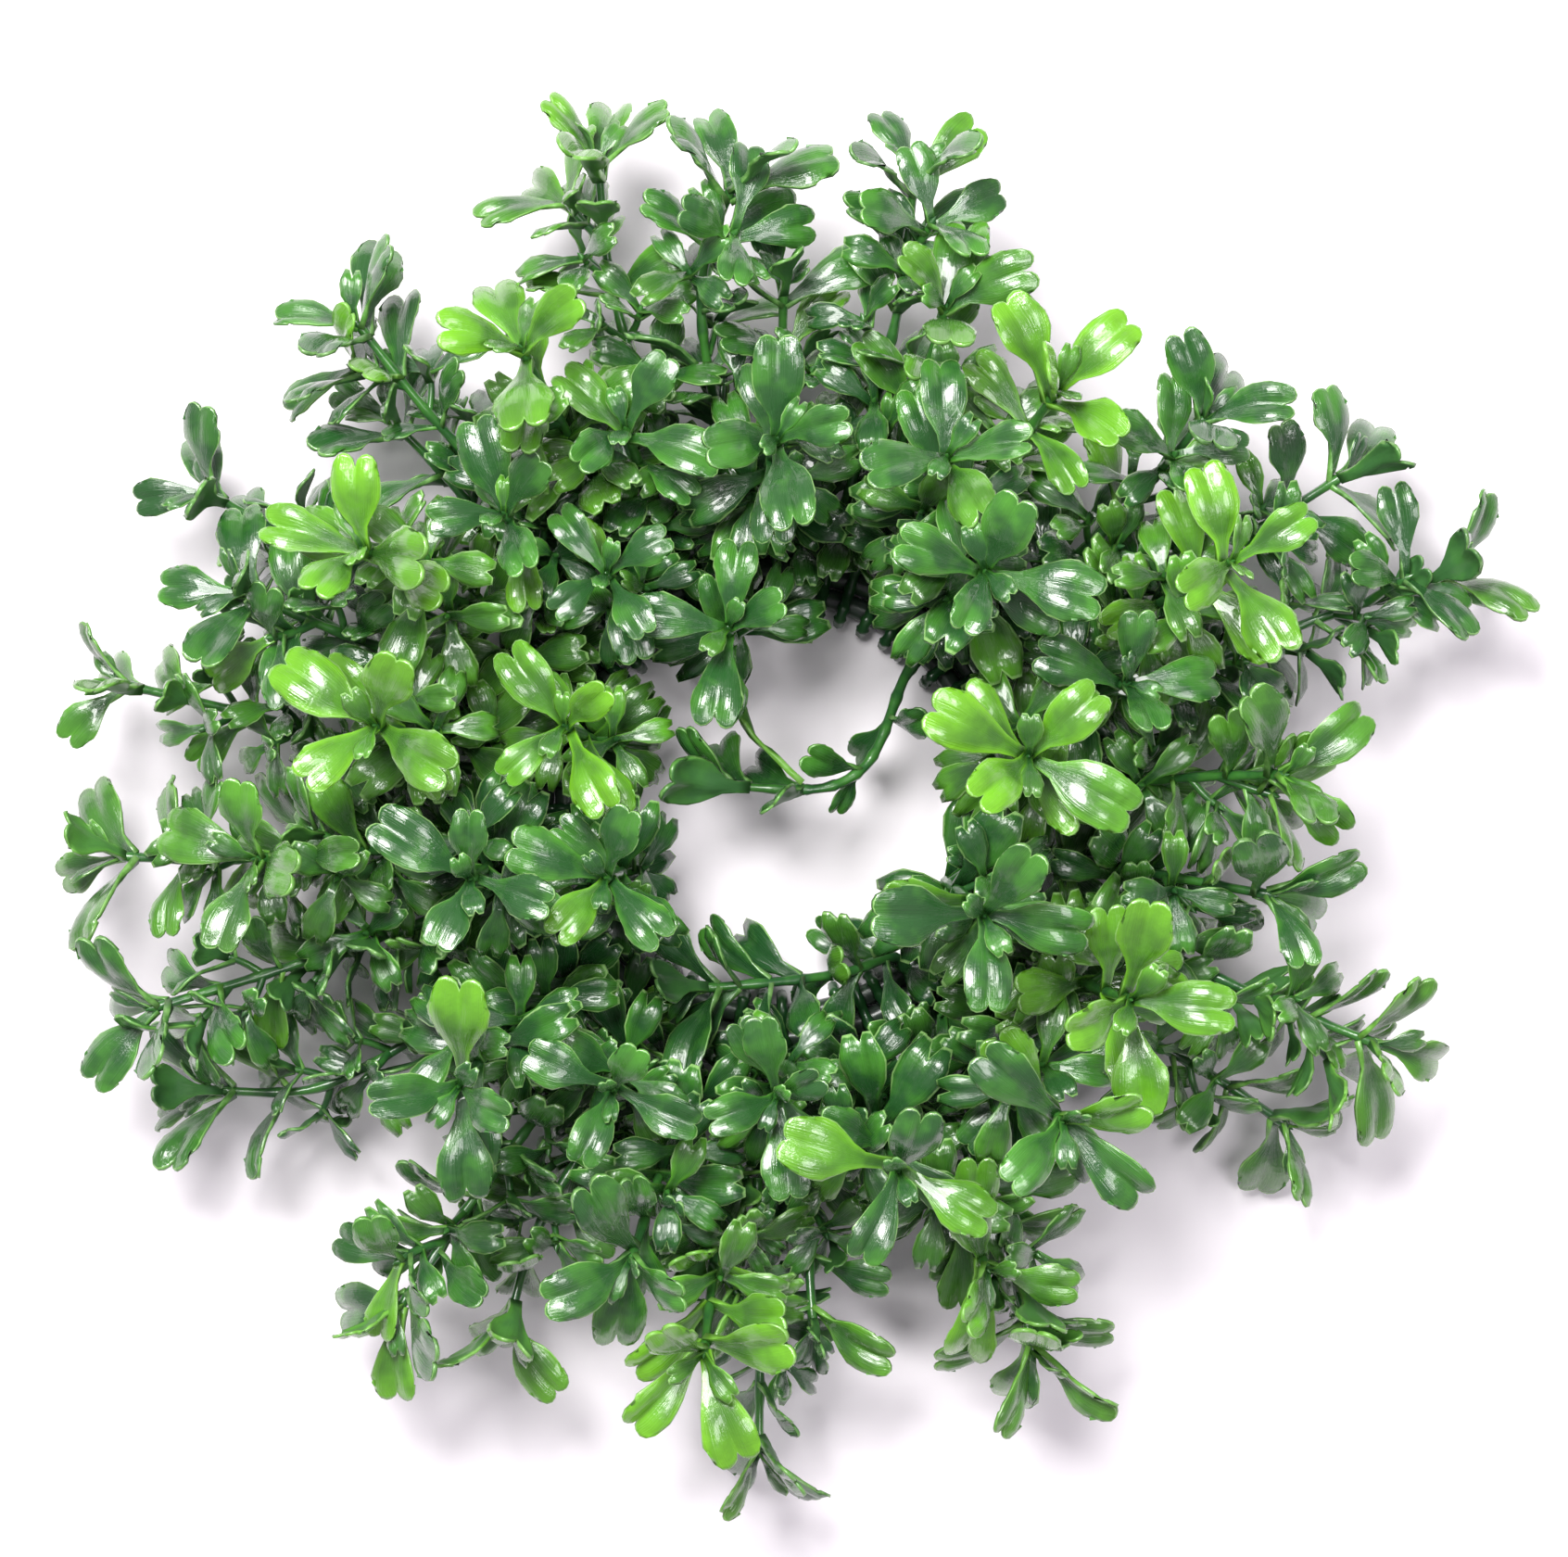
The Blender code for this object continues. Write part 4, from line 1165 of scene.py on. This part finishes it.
# %% [markdown]
# ## The finishes
# A leaf's upper face is polished by the mould, its underside is duller, and the plastic that creeps
# out at the parting line leaves a thin pale flash. A real stem is the same plastic with small ridges,
# and the strands are coated in a darker one. Gloss comes from low roughness under a thin clear coat.

# %% The leaf's glossy face
FLASH_SHARE = 0.75
FINE_SHARE = 0.6
GLOSS_EDGES = (0.3, 0.7)
glossy_leaf, tree, shader = new_material("glossy_leaf", roughness=0.34, coat=0.5)
body, seed = leaf_colour(tree)
flash = calculate(tree, "MULTIPLY", use_effect(tree, flash_line), FLASH_SHARE)
feed(tree, shader.inputs["Base Color"], blend_colours(tree, flash, body, FLASH))
lines = use_effect(tree, fine_lines, Lines=52.0, Seed=seed)
fine = fine_noise(tree, scale=1500.0, detail=2.0)
height = calculate(tree, "MULTIPLY_ADD", fine, FINE_SHARE, lines)
raise_bumps(tree, shader, height, strength=0.4, distance=0.3 * MM)
feed(tree, shader.inputs["Roughness"], remap(tree, lines, *GLOSS_EDGES, low=0.15, high=0.3))
shader.inputs["Specular IOR Level"].default_value = 0.75
print("finish:", glossy_leaf.name)

# %% The leaf's duller underside
PALE_SHARE = 0.35
leaf_underside, tree, shader = new_material("leaf_underside", roughness=0.42, coat=0.1)
body, seed = leaf_colour(tree)
feed(tree, shader.inputs["Base Color"], blend_colours(tree, PALE_SHARE, body, UNDERSIDE))
lines = use_effect(tree, fine_lines, Lines=16.0, Seed=seed)
raise_bumps(tree, shader, lines, strength=0.35, distance=0.2 * MM)
print("finish:", leaf_underside.name)

# %% The flash at the parting line
PATCHY_FLASH = (0.3, 0.1)
parting_flash, tree, shader = new_material("parting_flash", roughness=0.35, coat=0.2)
body, _ = leaf_colour(tree)
share = calculate(tree, "MULTIPLY_ADD", use_effect(tree, cloudy, Scale=700.0), *PATCHY_FLASH)
feed(tree, shader.inputs["Base Color"], blend_colours(tree, share, body, FLASH))
print("finish:", parting_flash.name)

# %% The stems
CLOUD_ON_STEM = 0.32
moulded_stem, tree, shader = new_material("moulded_stem", roughness=0.32, coat=0.35)
_, _, shade = tint_parts(tree)
cloud = calculate(tree, "MULTIPLY", use_effect(tree, cloudy, Scale=260.0), CLOUD_ON_STEM)
body = blend_colours(tree, cloud, DEEP, FRESH)
# Painted shade: low parts of a stem are blended towards dark green
feed(tree, shader.inputs["Base Color"], blend_colours(tree, shade, body, PAINTED_SHADE_GREEN))
raise_bumps(tree, shader, fine_noise(tree, scale=900.0, detail=3.0), strength=0.5, distance=0.2 * MM)
print("finish:", moulded_stem.name)

# %% The coated strands
CLOUD_ON_STRAND = 0.35
strand_finish, tree, shader = new_material("strand_coating", roughness=0.34, coat=0.2)
cloud = calculate(tree, "MULTIPLY", use_effect(tree, cloudy, Scale=420.0), CLOUD_ON_STRAND)
feed(tree, shader.inputs["Base Color"], blend_colours(tree, cloud, STRAND, DEEP))
raise_bumps(tree, shader, fine_noise(tree, scale=1200.0, detail=2.0), strength=0.25, distance=0.1 * MM)
print("finish:", strand_finish.name)

# %% The finishes of a spray, in the order of its material slots
leaf_finish = [glossy_leaf, leaf_underside, parting_flash, moulded_stem]
BACK_SLOT, EDGE_SLOT, STEM_SLOT = 1, 2, 3
print("finishes of a spray:", [finish.name for finish in leaf_finish])

# %% [markdown]
# ## One leaf, modelled once
# A boxwood leaf as moulded has a narrow neck, a blade that widens to two round lobes, a notch between
# them and a puffed cushion on each lobe. It could be sculpted, but not remade from numbers. It starts
# as a flat grid. Its columns are spread, its rows are moved and widened, and its end is drawn in to
# the outline. The heights follow a formula, which no operator can give.

# %% Picking the vertices of a grid
def select_only(*pieces):
    bpy.ops.object.select_all(action="DESELECT")
    for piece in pieces:
        piece.select_set(True)
    bpy.context.view_layer.objects.active = pieces[0]


def start_edit(piece):
    select_only(piece)
    bpy.ops.object.mode_set(mode="EDIT")
    bpy.ops.mesh.select_mode(type="VERT")
    bpy.ops.object.mode_set(mode="OBJECT")


def move_picked(piece, picked, shift=(0, 0, 0), widen=1.0):
    """Moves some vertices, by number, and then widens them about the leaf's middle line."""
    for polygon in piece.data.polygons:
        polygon.select = False
    for edge in piece.data.edges:
        edge.select = False
    for vertex in piece.data.vertices:
        vertex.select = vertex.index in picked
    bpy.ops.object.mode_set(mode="EDIT")
    if widen != 1.0:
        bpy.ops.transform.resize(value=(widen, 1, 1), center_override=(0, 0, 0))
    if any(shift):
        bpy.ops.transform.translate(value=shift)
    bpy.ops.object.mode_set(mode="OBJECT")


print("a model leaf is a grid of", round(LEAF_LENGTH / MM), "mm, shaped row by row")

# %% The outline
SHOULDER = 0.2
DRAW_IN_FROM = 0.6
BLADE_THICKNESS = 0.7 * MM
KEEL = 0.5 * MM
EDGE_FALL = 0.2 * MM
LIP_ACROSS = 0.93
LIP_ALONG = 0.965
ROUND_OFF_FROM = 0.76
GROOVE_DEPTH = 0.9
GROOVE_WIDTH = 0.26
RAGGED = 0.2 * MM
LOBE_MIDDLE = 0.5
CUSHION_RISE = (0.28, 0.7)
GROOVE_RISE = (0.45, 0.85)
EDGE_FALLS_OVER = (0.3, 0.7)


def end_drop(across, notch):
    """How far the leaf's end is drawn in at a place across it, as a share of its length."""
    swing = abs(abs(across) - LOBE_MIDDLE) / LOBE_MIDDLE
    depth = notch if abs(across) < LOBE_MIDDLE else SHOULDER
    return depth * (1 - math.sqrt(1 - swing * swing))


def smooth_rise(value, start, end):
    share = max(0.0, min(1.0, (value - start) / (end - start)))
    return share * share * (3 - 2 * share)


def cushion_height(across, along, puff):
    """Height of the leaf's face: one cushion that a groove parts in two towards the end.
    The powers set how square its edges are."""
    aside = min(1.0, abs(across) / LIP_ACROSS)
    close = max(0.0, min(1.0, (along - ROUND_OFF_FROM) / (LIP_ALONG - ROUND_OFF_FROM)))
    cushion = puff * smooth_rise(along, *CUSHION_RISE) * (1 - aside ** 2.4) ** 0.6
    groove = smooth_rise(along, *GROOVE_RISE) * GROOVE_DEPTH * math.exp(-(across / GROOVE_WIDTH) ** 2)
    edge = EDGE_FALL * smooth_rise(along, *EDGE_FALLS_OVER) * max(abs(across) ** 4, close ** 2)
    return cushion * (1 - groove) * math.sqrt(1 - close ** 2.5) - edge


print("height of a lobe, mm:", in_mm([cushion_height(LOBE_MIDDLE, WIDEST, PUFF)]))

# %% The model leaf
KEEL_HALF_WIDTH = 0.12 * LEAF_WIDTH
KEEL_LENGTH = 0.5 * LEAF_LENGTH
FACING_DOWN = -0.4


def model_leaf(name, columns, rows, notch, puff):
    """columns lists places across half the leaf, rows lists (share of length, share of half width).
    notch is a share of the length, and puff the height of the cushions as a share of PUFF."""
    rng = random.Random(name)
    places = [-place for place in reversed(columns[1:])] + list(columns)
    across_count = len(places) - 1
    along_count = len(rows) - 1
    bpy.ops.object.select_all(action="DESELECT")
    bpy.ops.mesh.primitive_grid_add(
        x_subdivisions=across_count, y_subdivisions=along_count, size=2, calc_uvs=True,
    )
    leaf = bpy.context.object
    leaf.name = name
    start_edit(leaf)
    grid = {}
    for vertex in leaf.data.vertices:
        column = round((vertex.co.x + 1) / 2 * across_count)
        row = round((vertex.co.y + 1) / 2 * along_count)
        grid[column, row] = vertex.index
    for column, place in enumerate(places):
        picked = {grid[column, row] for row in range(along_count + 1)}
        move_picked(leaf, picked, (place - (column / across_count * 2 - 1), 0, 0))
    for row, (along, width) in enumerate(rows):
        picked = {grid[column, row] for column in range(across_count + 1)}
        shift = along * LEAF_LENGTH - (row / along_count * 2 - 1)
        move_picked(leaf, picked, (0, shift, 0), width * LEAF_WIDTH / 2)
    for row, (along, _) in enumerate(rows):
        draw = max(0.0, (along - DRAW_IN_FROM) / (1 - DRAW_IN_FROM))
        for column, place in enumerate(places):
            height = cushion_height(place, along, puff * PUFF)
            drop = draw * end_drop(place, notch) * LEAF_LENGTH
            at_edge = abs(place) == 1 and along > DRAW_IN_FROM / 2
            sideways = rng.uniform(-RAGGED, RAGGED) if at_edge else 0
            move_picked(leaf, {grid[column, row]}, (sideways, -drop, height))
    thicken(leaf)
    return leaf


def thicken(leaf):
    """Gives the leaf its thickness downwards, with its back and its edge in their own materials."""
    for finish in leaf_finish:
        leaf.data.materials.append(finish)
    bpy.ops.object.modifier_add(type="SOLIDIFY")
    wall = leaf.modifiers[-1]
    wall.thickness = BLADE_THICKNESS
    wall.offset = -1
    wall.material_offset = BACK_SLOT
    wall.material_offset_rim = EDGE_SLOT
    bpy.ops.object.modifier_apply(modifier=wall.name)
    keel = {
        vertex.index for vertex in leaf.data.vertices
        if vertex.normal.z < FACING_DOWN
        and abs(vertex.co.x) < KEEL_HALF_WIDTH
        and vertex.co.y < KEEL_LENGTH
    }
    move_picked(leaf, keel, (0, 0, -KEEL))
    bpy.ops.object.shade_smooth()


print("keel, mm:", in_mm((KEEL, 2 * KEEL_HALF_WIDTH, KEEL_LENGTH)))

# %% The eight model leaves
FINE_COLUMNS = (0, 0.1, 0.28, 0.5, 0.74, 0.92, 1.0)
FAN_ROWS = (
    (0.0, 0.22), (0.14, 0.23), (0.27, 0.33), (0.39, 0.53), (0.51, 0.72), (0.63, 0.86), (0.76, 0.96),
    (0.88, 1.0), (0.965, 0.97), (1.0, 0.94),
)
OBLONG_ROWS = (
    (0.0, 0.22), (0.14, 0.21), (0.26, 0.3), (0.35, 0.54), (0.45, 0.79), (0.57, 0.95), (0.72, 1.0),
    (0.87, 0.99), (0.965, 0.95), (1.0, 0.92),
)
SPOON_ROWS = (
    (0.0, 0.2), (0.15, 0.19), (0.3, 0.25), (0.41, 0.44), (0.51, 0.71), (0.61, 0.91), (0.74, 1.0),
    (0.87, 0.98), (0.965, 0.92), (1.0, 0.88),
)
SMALL_COLUMNS = (0, 0.26, 0.66, 1.0)
SMALL_ROWS = ((0.0, 0.24), (0.27, 0.33), (0.5, 0.82), (0.8, 1.0), (1.0, 0.92))
LARGE_FORMS = {
    "broad_leaf": (FINE_COLUMNS, OBLONG_ROWS, 0.085, 1.3),
    "broad_cleft_leaf": (FINE_COLUMNS, OBLONG_ROWS, 0.14, 1.7),
    "fan_leaf": (FINE_COLUMNS, FAN_ROWS, 0.1, 1.1),
    "cleft_fan_leaf": (FINE_COLUMNS, FAN_ROWS, 0.16, 1.5),
    "spoon_leaf": (FINE_COLUMNS, SPOON_ROWS, 0.06, 0.9),
    "cleft_spoon_leaf": (FINE_COLUMNS, SPOON_ROWS, 0.115, 1.4),
}
SMALL_FORMS = {
    "small_leaf": (SMALL_COLUMNS, SMALL_ROWS, 0.12, 1.35),
    "small_cleft_leaf": (SMALL_COLUMNS, SMALL_ROWS, 0.19, 1.6),
}
large_leaves = [model_leaf(name, *form) for name, form in LARGE_FORMS.items()]
small_leaves = [model_leaf(name, *form) for name, form in SMALL_FORMS.items()]
for leaf in large_leaves + small_leaves:
    print(leaf.name, len(leaf.data.polygons), "faces", in_mm(leaf.dimensions))

# %% [markdown]
# ## Copies of the leaf, each bent its own way
# No two leaves of the real wreath lie alike. A modifier on each copy could bend it, but two thousand
# modifiers are slow. So a copy's mesh is laid along the arc of its own leaf: how far up the model
# leaf a vertex is picks a place on the arc, and its other two coordinates go across and out of it.

# %% Bending a copy
FOLD_ROUNDING = 0.9 * MM
FOLD_FULL_FROM = 0.55


def bend(leaf, flat, fold):
    """A model leaf's vertices once it lies along an arc. fold lifts its two halves by an angle."""
    axis = np.array(leaf.axis)
    out = np.array(leaf.out)
    share = flat[:, 1:2] / LEAF_LENGTH
    angle = leaf.open + leaf.curl * share
    forward = np.cos(angle) * axis + np.sin(angle) * out
    normal = np.sin(angle) * axis - np.cos(angle) * out
    along = (np.sin(angle) - math.sin(leaf.open)) * axis + (math.cos(leaf.open) - np.cos(angle)) * out
    side = np.cross(forward, normal)
    turn = leaf.twist * np.clip(share / NECK_END, 0, 1)
    turned_side = side * np.cos(turn) + np.cross(forward, side) * np.sin(turn)
    turned_normal = normal * np.cos(turn) + np.cross(forward, normal) * np.sin(turn)
    across = flat[:, 0:1] * (leaf.width / LEAF_WIDTH)
    lifted = fold * np.clip(share / FOLD_FULL_FROM, 0, 1)
    aside = np.sqrt(across ** 2 + FOLD_ROUNDING ** 2) - FOLD_ROUNDING
    height = flat[:, 2:3] * (leaf.length / LEAF_LENGTH) + aside * np.sin(lifted)
    across = across * np.cos(lifted)
    middle = np.array(leaf.root) + along * (leaf.length / leaf.curl)
    return middle + turned_side * across + turned_normal * height


def flat_points(model):
    flat = np.empty(len(model.data.vertices) * 3)
    model.data.vertices.foreach_get("co", flat)
    return flat.reshape(-1, 3)


flat_shapes = {model.name: flat_points(model) for model in large_leaves + small_leaves}
print("vertices of the model leaves:", [len(shape) for shape in flat_shapes.values()])

# %% A leaf's tint: its share of lime, its seed and its painted shade
TONE_LIME = {"deep_green": 0.06, "fresh_green": 0.4, "lime_green": 0.95}
LIME_SPREAD = (0.55, 1.1)
STRAY_LIME_CHANCE = 0.12
STRAY_LIME = (0.4, 0.8)
SMALL_LIME = 0.45
SHADE_HEIGHT = 36 * MM
LEAF_PAINTED_SHADE = 0.58


def leaf_tint(spray, leaf, rng, is_small):
    """Lime is strongest in a lime spray's own leaves. Low leaves get painted shade, more the lower."""
    lime = TONE_LIME[spray.tone] * rng.uniform(*LIME_SPREAD)
    if rng.random() < STRAY_LIME_CHANCE:
        lime = rng.uniform(*STRAY_LIME)
    if is_small:
        lime *= SMALL_LIME
    # Painted shade: the lower the leaf's root, the darker it is painted
    depth = max(0.0, 1 - leaf.root.z / SHADE_HEIGHT)
    return (min(lime, 1.0), rng.random(), LEAF_PAINTED_SHADE * depth, 1.0)


def paint(mesh, tint):
    """Gives a mesh its tint: one for all its vertices, or a row for each."""
    layer = mesh.attributes.new("tint", "FLOAT_COLOR", "POINT")
    layer.data.foreach_set("color", np.broadcast_to(tint, (len(mesh.vertices), 4)).ravel())


def place_leaf(leaf, model, fold, tint):
    """A copy of a model leaf with its own mesh, bent to its place."""
    copy = bpy.data.objects.new("leaf_copy", model.data.copy())
    points = bend(leaf, flat_shapes[model.name], fold) + np.array(RING_CENTRE)
    points = np.clip(points, cad_box[0], cad_box[1])
    copy.data.vertices.foreach_set("co", points.ravel())
    paint(copy.data, tint)
    bpy.context.scene.collection.objects.link(copy)
    return copy


print("share of lime by tone:", TONE_LIME)

# %% [markdown]
# ## Stems
# A real stem is 2 mm thick. It has a small collar at each pair of leaves and tapers to a bud in the
# middle of the end whorl. An extruded circle could follow its way, but a curve with a round bevel
# lets the radius be set point by point, so that is what it is here.

# %% Stems as bevelled curves
FEWEST_STEPS = 4
STEM_POINT_STEP = 1.1 * MM
COLLAR = 0.28
COLLAR_HALF = 0.9 * MM
BUD_LENGTH = 1.2 * MM
BUD_POINT = 0.1
STEM_SHADE_HEIGHT = 22 * MM
STEM_PAINTED_SHADE = 0.9
NO_TINT = (0.0, 0.5, 0.0, 1.0)


def collar(distance_back):
    """How much a stem swells at a distance from its tip: once at each place where a pair grows."""
    nearest = (distance_back - BUD + TIER_PITCH / 4) % (TIER_PITCH / 2) - TIER_PITCH / 4
    return COLLAR * math.exp(-(nearest / COLLAR_HALF) ** 2)


def stem_tube(name, stem, taper, roundness):
    """A mesh tube along a stem, smoothed, with collars, and painted shade that darkens it towards the
    table.
    """
    total = stem_length(stem)
    count = max(FEWEST_STEPS, round(total / STEM_POINT_STEP))
    spans = len(stem.points) - 1
    points = [smooth_point(stem.points, spans * step / count) for step in range(count + 1)]
    points[-1] = stem.points[-1]
    curve = bpy.data.curves.new(name, "CURVE")
    curve.dimensions = "3D"
    curve.bevel_depth = stem.radius
    curve.bevel_resolution = roundness
    curve.use_fill_caps = True
    spline = curve.splines.new("POLY")
    spline.points.add(len(points) - 1)
    for index, (point, knot) in enumerate(zip(points, spline.points)):
        back = total * (1 - index / count)
        knot.co = (*(point + RING_CENTRE), 1)
        knot.radius = 1 - taper * (1 - back / total)
        if back < total - STEM_CLEAR:
            knot.radius *= 1 + collar(back)
        if back < BUD_LENGTH:
            knot.radius *= BUD_POINT + (1 - BUD_POINT) * math.sqrt(back / BUD_LENGTH)
    made = bpy.data.objects.new(name, curve)
    bpy.context.scene.collection.objects.link(made)
    select_only(made)
    bpy.ops.object.convert(target="MESH")
    made.data.materials.clear()
    for finish in leaf_finish:
        made.data.materials.append(finish)
    for polygon in made.data.polygons:
        polygon.material_index = STEM_SLOT
        polygon.use_smooth = True
    # Painted shade: each vertex is darkened more the nearer it is to the table
    tints = np.tile(NO_TINT, (len(made.data.vertices), 1))
    heights = np.array([vertex.co.z for vertex in made.data.vertices])
    tints[:, 2] = STEM_PAINTED_SHADE * np.clip(1 - heights / STEM_SHADE_HEIGHT, 0, 1)
    paint(made.data, tints)
    return made


print("a stem is", 2 * STEM_RADIUS / MM, "mm thick and swells by", COLLAR, "at a pair")

# %% [markdown]
# ## Every spray in one piece
# A real spray is one moulding. Its leaves could stay objects of their own, but there are two thousand
# of them, and they belong together. So a spray's stem, forks, shoots and leaves are joined in one
# object that replaces its node, and chance picks each leaf's model and fold.

# %% Growing each spray
# Folds in degrees: (least, most, most likely)
LARGE_FOLD = (-14, 38, 12)
SMALL_FOLD = (-10, 32, 10)
STEM_TAPER = 0.25
STEM_ROUNDNESS = 2
FORK_TAPER = 0.2
FORK_ROUNDNESS = 1


def join_spray(name, parts):
    select_only(*parts)
    bpy.ops.object.join()
    piece = bpy.context.object
    piece.name = name + "_foliage"
    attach(piece, "root")
    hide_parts(name)
    return piece


def grow_spray(name, spray):
    rng = random.Random(name + " look")
    parts = [stem_tube(name + "_stem", stems[name], STEM_TAPER, STEM_ROUNDNESS)]
    parts += [
        stem_tube(name + "_fork", fork, FORK_TAPER, FORK_ROUNDNESS)
        for fork in twigs[name] + shoots[name]
    ]
    for grown, models, fold_range, is_small in (
        (leaves[name], large_leaves, LARGE_FOLD, False),
        (fillers[name], small_leaves, SMALL_FOLD, True),
    ):
        for leaf in grown:
            model = rng.choice(models)
            fold = math.radians(rng.triangular(*fold_range))
            parts.append(place_leaf(leaf, model, fold, leaf_tint(spray, leaf, rng, is_small)))
    return join_spray(name, parts)


pieces = [grow_spray(name, spray) for name, spray in sprays.items()]
print("triangles in the sprays:", sum(len(piece.data.polygons) for piece in pieces) * 2)

# %% The model leaves have done their work
for leaf in large_leaves + small_leaves:
    bpy.data.objects.remove(leaf)
print("sprays finished:", len(pieces))

# %% [markdown]
# ## The strands
# The core of such a ring is plastic-coated wire or cord. A bevelled circle curve could make it, but a
# torus is the same shape in one step. Each strand is a smooth round torus that rests on the table and
# replaces the frame's plain ring.

# %% Strands
def coated_strand(name, place):
    bpy.ops.object.select_all(action="DESELECT")
    bpy.ops.mesh.primitive_torus_add(
        location=RING_CENTRE + UP * STRAND_HALF_HEIGHT, major_segments=144, minor_segments=16,
        major_radius=RING_RADIUS + place * STRAND_PITCH, minor_radius=STRAND_HALF_HEIGHT,
    )
    strand = bpy.context.object
    strand.name = name + "_coat"
    bpy.ops.object.transform_apply(location=True, rotation=True, scale=True)
    bpy.ops.object.shade_smooth()
    strand.data.materials.append(strand_finish)
    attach(strand, "root")
    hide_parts(name)
    return strand


strands = [coated_strand(name, place) for name, place in STRANDS.items()]
print("strands:", [strand.name for strand in strands])

# %% [markdown]
# ## Sizes
# Rulers could be held to the picture, but a box says more. The dressed wreath has to keep to the
# frame's box, so that box is printed.


print("frame, mm:", [in_mm(corner) for corner in cad_box])
